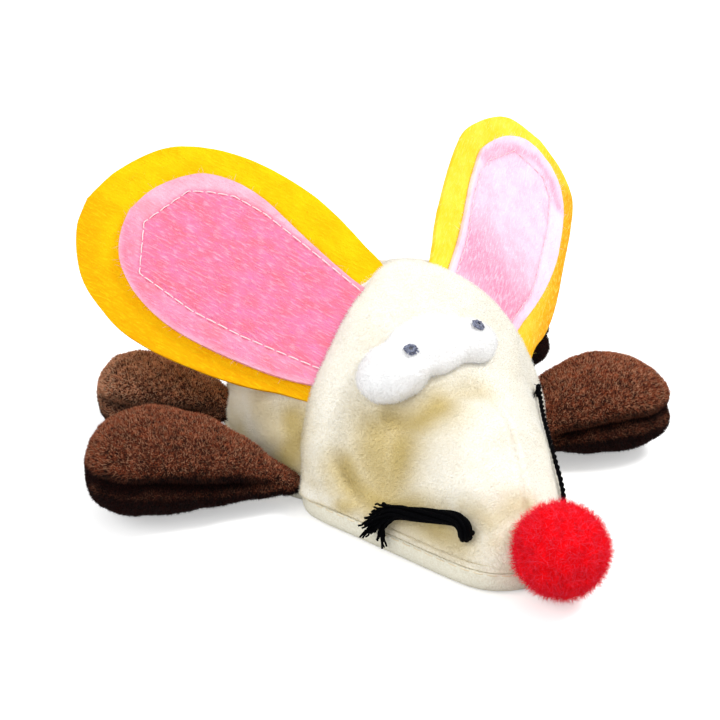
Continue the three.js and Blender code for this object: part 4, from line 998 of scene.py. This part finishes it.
def insideLoop(places, loop):
    inside = np.zeros(len(places), bool)
    for a, b in zip(loop, loop[1:] + loop[:1]):
        crosses = (a.y > places[:, 1]) != (b.y > places[:, 1])
        inside ^= crosses & (places[:, 0] < (b.x - a.x) * (places[:, 1] - a.y) / ((b.y - a.y) or 1e-9) + a.x)
    return inside


def feltLayer(word, ear, kind):
    layer, side = earSettings["layers"][kind], ear["side"]
    upper, lower = (halfEdge(ear[kind][edge], layer, ear["slip"]) for edge in ("upper", "lower"))
    height = layer["way"] * (earSettings["felt"] + earSettings["gap"]) / 2
    bm = bmesh.new()
    bmesh.ops.create_grid(bm, x_segments=layer["steps"][0], y_segments=layer["steps"][1], size=1)
    shares = [((v.co.x + 1) / 2, (v.co.y + 1) / 2) for v in bm.verts]
    flat = [lower(s).lerp(upper(s), t) for s, t in shares]
    places = np.array([tuple(p) for p in flat])
    stitches = [Vector((a, c + ear["slip"], 0)) for a, c in ear["stitches"]]
    away, _ = distanceTo(places, stitches)
    press = layer["groove"] * np.exp(-((away / earSettings["press"]) ** 2))
    rim, warm = 0 * away, painted(places, ear[kind]["warm"])
    if kind == "Inner":
        outside = np.where(insideLoop(places, stitches), 0.0, np.clip(away, 0, 1))
        high = np.array([t for _, t in shares])
        edge, _ = distanceTo(places, [lower(k / 40) for k in range(41)] + [upper(1 - k / 40) for k in range(41)])
        edgeTone = earSettings["edgeTone"] * np.clip(1 - edge / earSettings["edgeWidth"], 0, 1)
        rim = np.maximum(outside * (ear["rimLow"] + (1 - ear["rimLow"]) * high), edgeTone)
        rim = rim * (1 - painted(places, ear[kind].get("bare", [])))
        warm = warm + earSettings["stitchTone"] * np.exp(-((away / earSettings["stitchWidth"]) ** 2))
    cut = bm.loops.layers.uv.new("feltCut")
    for face in bm.faces:
        for loop in face.loops:
            place = flat[loop.vert.index]
            loop[cut].uv = (place.x / 60 + side, place.y / 60)
    for vert, place, sink in zip(bm.verts, flat, press):
        soft = noise.noise(place / 2.1 + Vector((side * 5, height, 0))) * 0.1
        tuck = earSettings["tuck"] * max(0, 1 - place.x / 6)
        vert.co = earPoint(side, place.x - tuck, place.y, height - sink * layer["way"] + soft) * mm
    for name, values in (("rim", rim), ("warm", np.clip(warm, 0, 1))):
        floats = bm.verts.layers.float.new(name)
        for vert, value in zip(bm.verts, values):
            vert[floats] = value
    bmesh.ops.remove_doubles(bm, verts=bm.verts, dist=0.02 * mm)
    if sum(f.normal.dot(earFrame(side)[3]) for f in bm.faces) < 0:
        bmesh.ops.reverse_faces(bm, faces=bm.faces)
    size = np.ptp(places[:, :2], axis=0) * mm
    colours, tone = ear[kind]["colours"], layer["slot"].split("_")[0]
    felt = makeObject("ear_" + word + kind, bm, feltMaterial(word + " ear " + tone + " felt", colours))
    loose = fibreMaterial(word + " ear loose " + tone + " fibres", colours["base"], colours["light"], colours["light"])
    return felt, loose, [round(float(c), 4) for c in size]


paleThread = threadMaterial("pale pink sewing thread", 0.5, ((250, 200, 212), (255, 234, 234)), 2500, Sheen_Weight=0.2)
for word, ear in earSettings["ears"].items():
    side = ear["side"]
    _, out, _, face = earFrame(side)
    above = earSettings["felt"] + earSettings["gap"] / 2 - earSettings["stitchSink"]
    flatRow = evenLine([Vector((a, c + ear["slip"], 0)) for a, c in ear["stitches"]], 0.4)
    row = [earPoint(side, p.x, p.y, above) for p in flatRow]
    threadRows = stitchRow(row, *(earSettings[key] for key in ("stitch", "stitchGap", "stitchLift")), lambda p: face)
    stitches = threadPiece("ear_" + word + "Stitches", threadRows, ear["thread"], paleThread, body=None)
    for kind, layer in earSettings["layers"].items():
        felt, looseFibres, size = feltLayer(word, ear, kind)
        fuzz = {**earSettings["fuzz"], "count": layer["fibres"], "lean": tuple(out * 0.5),
                "seed": ear["seed"] + len(kind)}
        loose = plantPile("ear_" + word + kind + "Fuzz", felt, fuzz, looseFibres)
        addModifier(felt, "SOLIDIFY", thickness=earSettings["felt"] * mm, offset=0)
        addModifier(felt, "BEVEL", width=0.3 * mm, segments=2, limit_method="ANGLE", angle_limit=1.0)
        extra = [loose, stitches] if kind == "Inner" else [loose]
        for piece in (felt, *extra):
            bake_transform(piece)
        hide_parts(layer["node"] + word)
print("ears made")

# eye patch: puffed white fleece with two lobes, and two embroidered pupils

patchSettings = {
    "lobes": [
        {"station": 0.218, "degrees": 116, "radius": (8.2, 6.4, 4.6), "proud": 0.5},
        {"station": 0.232, "degrees": 82, "radius": (6.4, 5.1, 4.1), "proud": 0.5},
        {"station": 0.224, "degrees": 99, "radius": (10.2, 6.8, 3.9), "proud": 0.2},
    ],
    "voxel": 0.55,
    "smoothing": {"factor": 0.5, "iterations": 14},
    "clearance": 0.15,  # between the patch and the skin under it
    "lumps": (3.2, 0.3, 8.0),
    "pile": {"count": 13000, "length": 0.65, "width": 0.04, "spread": 0.9, "rings": 2, "bend": 0.3, "seed": 61},
    "pupils": {"right": {"station": 0.222, "degrees": 108.5, "seed": 7},
               "left": {"station": 0.219, "degrees": 81.5, "seed": 8}},
    "rings": (0.62, 0.95, 1.2),
    "rays": {"count": 9, "apart": 0.7, "from": 0.45, "shortest": 1.2, "longest": 1.75},
    "thread": 0.2,
    "threadLift": 0.45,
}


def formFrame(form, station, degrees):
    # a place on the form, with the ways ahead, aside and out of it
    angle = math.radians(degrees)
    here = formPoint(form, station, angle)
    ahead = (formPoint(form, station + 0.01, angle) - here).normalized()
    beside = formPoint(form, station, angle + 0.01) - here
    normal = beside.cross(ahead).normalized()
    if normal.z < 0:
        normal = -normal
    return here, ahead, normal.cross(ahead).normalized(), normal


def fleeceMaterial():
    material, tree, shader = startMaterial("white fleece", 0.95, Sheen_Weight=0.3, Sheen_Roughness=0.6)
    fine = noiseAt(tree, objectPlace(tree), 1500, 4)
    finishShader(tree, shader, mixed(tree, fine, (253, 254, 255), (255, 255, 255)), fine, 0.4)
    return material


whiteFleece = fleeceMaterial()
whitePile = fibreMaterial("white fleece pile", (255, 255, 255), (255, 255, 255), (255, 255, 255), sheen=0.3)
headTree = surfaceTree(headSkin)
lobeBm = bmesh.new()
for lobe in patchSettings["lobes"]:
    here, ahead, aside, normal = formFrame(formSettings["head"], lobe["station"], lobe["degrees"])
    turn = Matrix((aside, ahead, normal)).transposed().to_4x4()
    size = Matrix.Diagonal((*[r * mm for r in lobe["radius"]], 1))
    place = Matrix.Translation((here + normal * lobe["proud"]) * mm)
    bmesh.ops.create_icosphere(lobeBm, subdivisions=4, radius=1, matrix=place @ turn @ size)
blank = makeObject("patchBlank", lobeBm)
addModifier(blank, "REMESH", mode="VOXEL", voxel_size=patchSettings["voxel"] * mm)
addModifier(blank, "SMOOTH", **patchSettings["smoothing"])
bpy.context.view_layer.update()
patchBm = bmesh.new()
patchBm.from_mesh(finalMesh(blank))
dropObject(blank)
for vert in patchBm.verts:
    near, normal, _, _ = headTree.find_nearest(vert.co)
    if near and (vert.co - near).dot(normal) < patchSettings["clearance"] * mm:
        vert.co = near + normal * patchSettings["clearance"] * mm
bmesh.ops.smooth_vert(patchBm, verts=patchBm.verts, factor=0.4, use_axis_x=True, use_axis_y=True, use_axis_z=True)
pushOut(patchBm, lumps(placesOf(patchBm), *patchSettings["lumps"]))
eyePatch = makeObject("eyePatch", patchBm, whiteFleece)
patchPile = plantPile("eyePatchPile", eyePatch, patchSettings["pile"], whitePile)
for piece in (eyePatch, patchPile):
    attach(piece, "root")
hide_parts("eye_patch")


def pupilLines(top, first, second, up, chance):
    # loops of thread laid over each other, and short stitches that run out from them
    rays, lines = patchSettings["rays"], []

    def aside(angle):
        return first * math.cos(angle) + second * math.sin(angle)

    for loop, radius in enumerate(patchSettings["rings"]):
        start = chance.uniform(0, 6)
        ring = []
        for a in np.linspace(0, 5.9, 26):
            lift = 0.28 - 0.16 * loop + 0.12 * math.sin(2 * a + loop)
            ring.append(top + aside(start + a) * radius * (1 + 0.08 * math.sin(3 * a)) + up * lift)
        lines.append(ring)
    for ray in range(rays["count"]):
        way = aside(ray * rays["apart"] + chance.uniform(-0.2, 0.2))
        reach = chance.uniform(rays["shortest"], rays["longest"])
        stitch = []
        for k in range(6):
            lift = 0.45 * math.sin(math.pi * (0.25 + 0.75 * k / 5)) - 0.1
            stitch.append(top + way * (rays["from"] + (reach - rays["from"]) * k / 5) + up * lift)
        lines.append(stitch)
    return lines


pupilThread = threadMaterial("dark embroidery thread", 0.6, ((58, 62, 84), (150, 156, 178)), 1800, span=(0.35, 0.7),
                             Sheen_Weight=0.2)
patchTree = surfaceTree(eyePatch)
for side, settings in patchSettings["pupils"].items():
    here, ahead, aside, normal = formFrame(formSettings["head"], settings["station"], settings["degrees"])
    hit, hitNormal, _, _ = patchTree.ray_cast((here + normal * 20) * mm, -normal)
    top = hit / mm + hitNormal * patchSettings["threadLift"]
    first = hitNormal.cross(ahead).normalized()
    lines = pupilLines(top, first, hitNormal.cross(first), hitNormal, random.Random(settings["seed"]))
    pupil = threadPiece("pupil_" + side + "Stitches", lines, patchSettings["thread"], pupilThread)
    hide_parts("pupil_" + side)
print("eye patch made")

# nose: a red pom-pom

noseSettings = {
    "centre": (0.3, -49.5, 11.4),
    "core": 8.8,
    "lumps": (2.4, 0.7, 5.0),
    "fibres": {"count": 13000, "length": 1.7, "width": 0.05, "shortest": 0.3, "spread": 1.6, "rings": 3, "bend": 0.9,
               "seed": 71},
}
noseBm = bmesh.new()
bmesh.ops.create_icosphere(noseBm, subdivisions=5, radius=noseSettings["core"] * mm,
                           matrix=Matrix.Translation(Vector(noseSettings["centre"]) * mm))
pushOut(noseBm, lumps(placesOf(noseBm), *noseSettings["lumps"]))
redCore = threadMaterial("red pom-pom heart", 0.95, ((255, 0, 6), (255, 4, 22)), 900, detail=3)
redYarn = fibreMaterial("red pom-pom fibres", (255, 2, 10), (255, 14, 42), (255, 92, 122), sheen=0.6, glow=(255, 60, 84))
noseCore = makeObject("nosePompom", noseBm, redCore)
noseFibres = plantPile("nosePompomFibres", noseCore, noseSettings["fibres"], redYarn)
for piece in (noseCore, noseFibres):
    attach(piece, "root")
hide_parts("nose_pompom")
print("nose made")

# paws: stuffed teardrops of nubby brown velour

pawSettings = {
    "shares": [(0, 0.1, 0.12, 0), (0.07, 0.22, 0.24, 0.15), (0.2, 0.43, 0.45, 0.45), (0.36, 0.68, 0.7, 0.75),
               (0.53, 0.89, 0.9, 0.95), (0.69, 1, 1, 1), (0.82, 0.95, 0.96, 1), (0.92, 0.76, 0.78, 1),
               (0.98, 0.45, 0.48, 1)],  # how far along, width, thickness, climb of the middle
    "tipFrom": 0.97,  # from here on the tip is rounded off
    "tipLength": 0.03,
    "tipReach": 0.02,
    "power": 0.92,  # a little squarer than round
    "steps": (84, 96),
    "floor": 0.8,
    "rootHeight": 5.2,
    "lowest": 0.9,
    "fore": {"size": (46, 30, 21), "hinge": (31.3125, 1), "fibres": 46000},
    "rear": {"size": (38, 24, 17), "hinge": (33.0157, 37.996), "fibres": 30000},
    # tuck is the share inside the body, drift how far the tip swings aside, deep is added to the painted shade of the
    # whole paw, and where it is below 0 the paw is painted lighter
    "paws": {
        "fore_right": {"side": -1, "turn": 30, "tuck": 0.02, "seed": 81, "drift": 6.0, "slim": 0.95, "deep": 0.12},
        "fore_left": {"side": 1, "turn": 4, "tuck": 0.41, "seed": 82, "drift": -3, "slim": 0.96, "deep": -0.05},
        "rear_right": {"side": -1, "turn": 31, "tuck": 0.18, "seed": 83, "drift": 0, "slim": 1, "deep": -0.3,
                       "pile": "paintedLight"},
        "rear_left": {"side": 1, "turn": 29.5, "tuck": 0.39, "seed": 84, "drift": -2, "slim": 0.9, "deep": 0.5},
    },
    "pile": {"length": 0.95, "width": 0.12, "spread": 0.8, "shortest": 0.45},
    "pileRoom": 0.75,
    "crease": {"place": 0.06, "depth": 2.6, "width": 1.8, "toneWidth": 2.2},
    "lumps": [(5.5, 0.6, 0), (1.6, 0.2, 3)],  # size, height and what is added to the seed
}


def velourMaterial():
    material, tree, shader = startMaterial("brown velour", 0.95)
    place = objectPlace(tree)
    nubs = noiseAt(tree, place, 1300, 3, rough=0.6)
    broad = noiseAt(tree, place, 120, 2)
    colour = mixed(tree, ranged(tree, nubs, 0.38, 0.66), (24, 7, 5), (88, 44, 30))
    colour = mixed(tree, ranged(tree, broad, 0.4, 0.7, 0, 0.5), colour, (92, 46, 34))
    # painted shade: the velour is darker where its shade attribute is high
    finishShader(tree, shader, shaded(tree, colour, (92, 66, 70)), nubs, 0.5)
    return material


def pawTurn(paw):
    return math.radians(paw["turn"] if paw["side"] > 0 else 180 - paw["turn"])


def pawRoot(kind, paw):
    hingeX, hingeY = pawSettings[kind]["hinge"]
    return Vector((paw["side"] * hingeX, hingeY, pawSettings["rootHeight"]))


def pawPoint(kind, paw, station, angle):
    settings = pawSettings
    length, width, thick = settings[kind]["size"]
    along, wide, high, climb = curvePoint([Vector(r) for r in settings["shares"]], min(1, station))
    if station > settings["tipFrom"]:
        close = (station - settings["tipFrom"]) / settings["tipLength"] * math.pi / 2
        along += settings["tipReach"] * math.sin(close)
        wide, high = wide * math.cos(close), high * math.cos(close)
    middle = settings["floor"] + thick / 2 - settings["rootHeight"]
    c, s = (math.copysign(abs(v) ** settings["power"], v) for v in (math.cos(angle), math.sin(angle)))
    out = along - paw["tuck"]
    aside = width / 2 * wide * paw["slim"] * c + paw["drift"] * max(0, out)
    return Vector((length * out, aside, middle * climb + thick / 2 * high * s))


def makePaw(word, paw):
    settings, kind = pawSettings, word.split("_")[0]
    length, width, thick = settings[kind]["size"]
    start = max(0.0, paw["tuck"] - 0.12)
    bm = wrappedGrid(*settings["steps"],
                     lambda s, t: pawPoint(kind, paw, start + (1 - start) * s**0.9, 2 * math.pi * t))
    bmesh.ops.holes_fill(bm, edges=[e for e in bm.edges if e.is_boundary])
    bmesh.ops.recalc_face_normals(bm, faces=bm.faces)
    places = placesOf(bm)
    # the seam round the paw is a crease, deepest at its sides and gone at its tip
    middle = (settings["floor"] + thick / 2 - settings["rootHeight"]) * 0.95
    shares = np.clip(places[:, 0] / length + paw["tuck"], 0, 1)
    below = middle * np.clip(shares * 1.6, 0, 1) + settings["crease"]["place"] * thick - places[:, 2]
    beside = np.clip((np.abs(places[:, 1]) / width - 0.12) / 0.2, 0, 1)
    crease = np.exp(-((below / settings["crease"]["width"]) ** 2)) * beside * np.clip((1 - shares) / 0.12, 0, 1)
    offsets = -settings["crease"]["depth"] * crease - settings["pileRoom"]
    for size, height, more in settings["lumps"]:
        offsets = offsets + lumps(places, size, height, paw["seed"] + more)
    pushOut(bm, offsets)
    bmesh.ops.transform(bm, matrix=Matrix.Rotation(pawTurn(paw), 4, "Z"), verts=bm.verts)
    bmesh.ops.translate(bm, vec=pawRoot(kind, paw) * mm, verts=bm.verts)
    for vert in bm.verts:
        vert.co.z = max(vert.co.z, settings["lowest"] * mm)
    bm.normal_update()
    # painted shade: faces that turn down, the crease and what lies below it are darker, and each paw's deep is added
    upness = np.array([v.normal.z for v in bm.verts])
    seamShade = np.exp(-((below / settings["crease"]["toneWidth"]) ** 2)) * beside
    shade = np.maximum(np.clip((0.45 - upness) / 0.9, 0, 0.8), seamShade) + 0.5 * np.clip(below / 3, 0, 1) + paw["deep"]
    velour = makeObject("paw_" + word + "Velour", bm)
    setFloat(velour, "shade", np.clip(shade + lumps(places, 4, 0.2, 9.0), 0, 1))
    return velour


brownVelour = velourMaterial()
# the second pile is a lighter copy of the same velour, painted light for the rear right paw, which lies in the near
# ear's shadow
brownPiles = {
    "brown": fibreMaterial("brown velour pile", (22, 5, 3), (152, 78, 50), (206, 152, 118), patchScale=900,
                           tint=(56, 34, 36), mottle=0.55),
    "paintedLight": fibreMaterial("faded brown velour pile", (42, 18, 12), (204, 136, 100), (232, 186, 150), patchScale=900,
                           tint=(48, 28, 28), mottle=0.55),
}
for word, paw in pawSettings["paws"].items():
    kind = word.split("_")[0]
    velour = makePaw(word, paw)
    velour.data.materials.append(brownVelour)
    out = Vector((math.cos(pawTurn(paw)), math.sin(pawTurn(paw)), 0))
    planting = {**pawSettings["pile"], "count": pawSettings[kind]["fibres"], "seed": paw["seed"],
                "lean": tuple(out * 0.35 + Vector((0, 0, 0.05)))}
    pile = plantPile("paw_" + word + "Pile", velour, planting, brownPiles[paw.get("pile", "brown")])
    for piece in (velour, pile):
        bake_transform(piece)
    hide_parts("paw_" + word)
print("paws made")

# finishes of the hard parts inside

hardSettings = {
    "case_plastic": {
        "light": (232, 230, 222), "dark": (219, 216, 206), "roughness": 0.42, "scale": 900, "bump": 0.03,
        "nodes": ["case_lower", "case_upper", "battery_door"],
    },
    "steel": {
        "light": (196, 198, 202), "dark": (150, 152, 158), "roughness": 0.3, "scale": 2500, "bump": 0.02, "metal": 1.0,
        "nodes": ["case_screw_1", "case_screw_2", "case_screw_3", "case_screw_4", "battery_door_screw", "motor_can",
                  "motor_shaft", "contact_spring"],
    },
    "brass": {
        "light": (226, 190, 110), "dark": (186, 146, 74), "roughness": 0.32, "scale": 2000, "bump": 0.02, "metal": 1.0,
        "nodes": ["contact_plate_front", "contact_plate_rear", "eccentric_weight"],
    },
    "cell_steel": {
        "light": (214, 214, 210), "dark": (176, 176, 174), "roughness": 0.26, "scale": 1600, "bump": 0.015, "metal": 1.0,
        "nodes": ["battery_cell_1", "battery_cell_2", "battery_cell_3"],
    },
    "black_plastic": {
        "light": (34, 34, 36), "dark": (20, 20, 22), "roughness": 0.45, "scale": 1200, "bump": 0.03,
        "nodes": ["motor_end_cap", "switch_body", "switch_slider"],
    },
    "red_lead": {
        "light": (206, 30, 26), "dark": (168, 18, 18), "roughness": 0.45, "scale": 1500, "bump": 0.01,
        "nodes": ["lead_red"],
    },
    "black_lead": {
        "light": (30, 30, 32), "dark": (16, 16, 18), "roughness": 0.45, "scale": 1500, "bump": 0.01,
        "nodes": ["lead_black", "lead_switch"],
    },
}
for name, settings in hardSettings.items():
    roughness, metal = settings["roughness"], settings.get("metal", 0.0)
    material, tree, shader = startMaterial(name.replace("_", " ") + " finish", roughness, Metallic=metal)
    place = objectPlace(tree)
    grain = noiseAt(tree, place, settings["scale"], 4, stretch=(1, 0.2, 1) if metal else None)
    worn = noiseAt(tree, place, settings["scale"] / 12, 2)
    colour = mixed(tree, ranged(tree, grain, 0.3, 0.7), settings["light"], settings["dark"])
    colour = mixed(tree, ranged(tree, worn, 0.5, 0.8, 0, 0.5), colour, settings["dark"])
    rough = ranged(tree, worn, 0.3, 0.7, roughness * 0.85, roughness * 1.25)
    tree.links.new(rough, shader.inputs["Roughness"])
    finishShader(tree, shader, colour, grain, settings["bump"])
    for node in settings["nodes"]:
        part = nodes[node]
        if not part.material_slots:
            part.data.materials.append(material)
        for slot in part.material_slots:
            slot.material = material
print("hard parts finished")

# floor, light and world

lightSettings = {
    "key": {"place": (0.34, -0.16, 0.66), "size": 0.3, "power": 3.4, "colour": (1.0, 0.99, 0.975)},
    "fill": {"place": (-0.55, -0.16, 0.38), "size": 0.5, "power": 1.7, "colour": (1.0, 1.0, 1.0)},
    "world": 0.72,
    "floor": (0.6, 0.6, 0.6),
    "backdrop": 0.4,
}


def seenDirectly(tree):
    # 1 for what the camera sees, also in a gloss or through something clear, and 0 for the light on the toy
    path = addNode(tree, "ShaderNodeLightPath")
    seen = sums(tree, "MAXIMUM", path.outputs["Is Camera Ray"], path.outputs["Is Glossy Ray"])
    return sums(tree, "MAXIMUM", seen, path.outputs["Is Transmission Ray"])


def makeFloor():
    bm = bmesh.new()
    bmesh.ops.create_grid(bm, x_segments=1, y_segments=1, size=2)
    floor = makeObject("studioFloor", bm, smooth=False)
    material = bpy.data.materials.new("pale floor")
    material.use_nodes = True
    tree = material.node_tree
    tree.nodes.clear()
    seen = seenDirectly(tree)
    geometry = addNode(tree, "ShaderNodeNewGeometry")
    colour = mixed(tree, seen, (*lightSettings["floor"], 1), (1, 1, 1, 1))
    plain = addNode(tree, "ShaderNodeBsdfDiffuse", {"Color": colour})
    backdrop = addNode(tree, "ShaderNodeEmission", {"Strength": sums(tree, "MULTIPLY", seen, lightSettings["backdrop"])})
    pale = addNode(tree, "ShaderNodeAddShader", {0: plain.outputs[0], 1: backdrop.outputs[0]})
    clear = addNode(tree, "ShaderNodeBsdfTransparent")
    oneSided = {0: geometry.outputs["Backfacing"], 1: pale.outputs[0], 2: clear.outputs[0]}
    mix = addNode(tree, "ShaderNodeMixShader", oneSided)
    addNode(tree, "ShaderNodeOutputMaterial", {"Surface": mix.outputs[0]})
    floor.data.materials.append(material)


def makeLight(name, settings):
    data = bpy.data.lights.new(name, "AREA")
    data.shape, data.size, data.energy, data.color = "DISK", settings["size"], settings["power"], settings["colour"]
    lamp = bpy.data.objects.new(name, data)
    bpy.context.scene.collection.objects.link(lamp)
    lamp.location = settings["place"]
    lamp.rotation_euler = (Vector((0, 0, 0.02)) - Vector(settings["place"])).to_track_quat("-Z", "Y").to_euler()


def makeWorld():
    world = bpy.data.worlds.new("studioWorld")
    bpy.context.scene.world = world
    world.use_nodes = True
    tree = world.node_tree
    strength = ranged(tree, seenDirectly(tree), 0, 1, lightSettings["world"], 1.0)
    background = tree.nodes["Background"]
    background.inputs["Color"].default_value = (1, 1, 1, 1)
    tree.links.new(strength, background.inputs["Strength"])


makeFloor()
makeLight("keyLamp", lightSettings["key"])
makeLight("fillLamp", lightSettings["fill"])
makeWorld()
bpy.context.scene.view_settings.view_transform = "Standard"
print("stage lit")
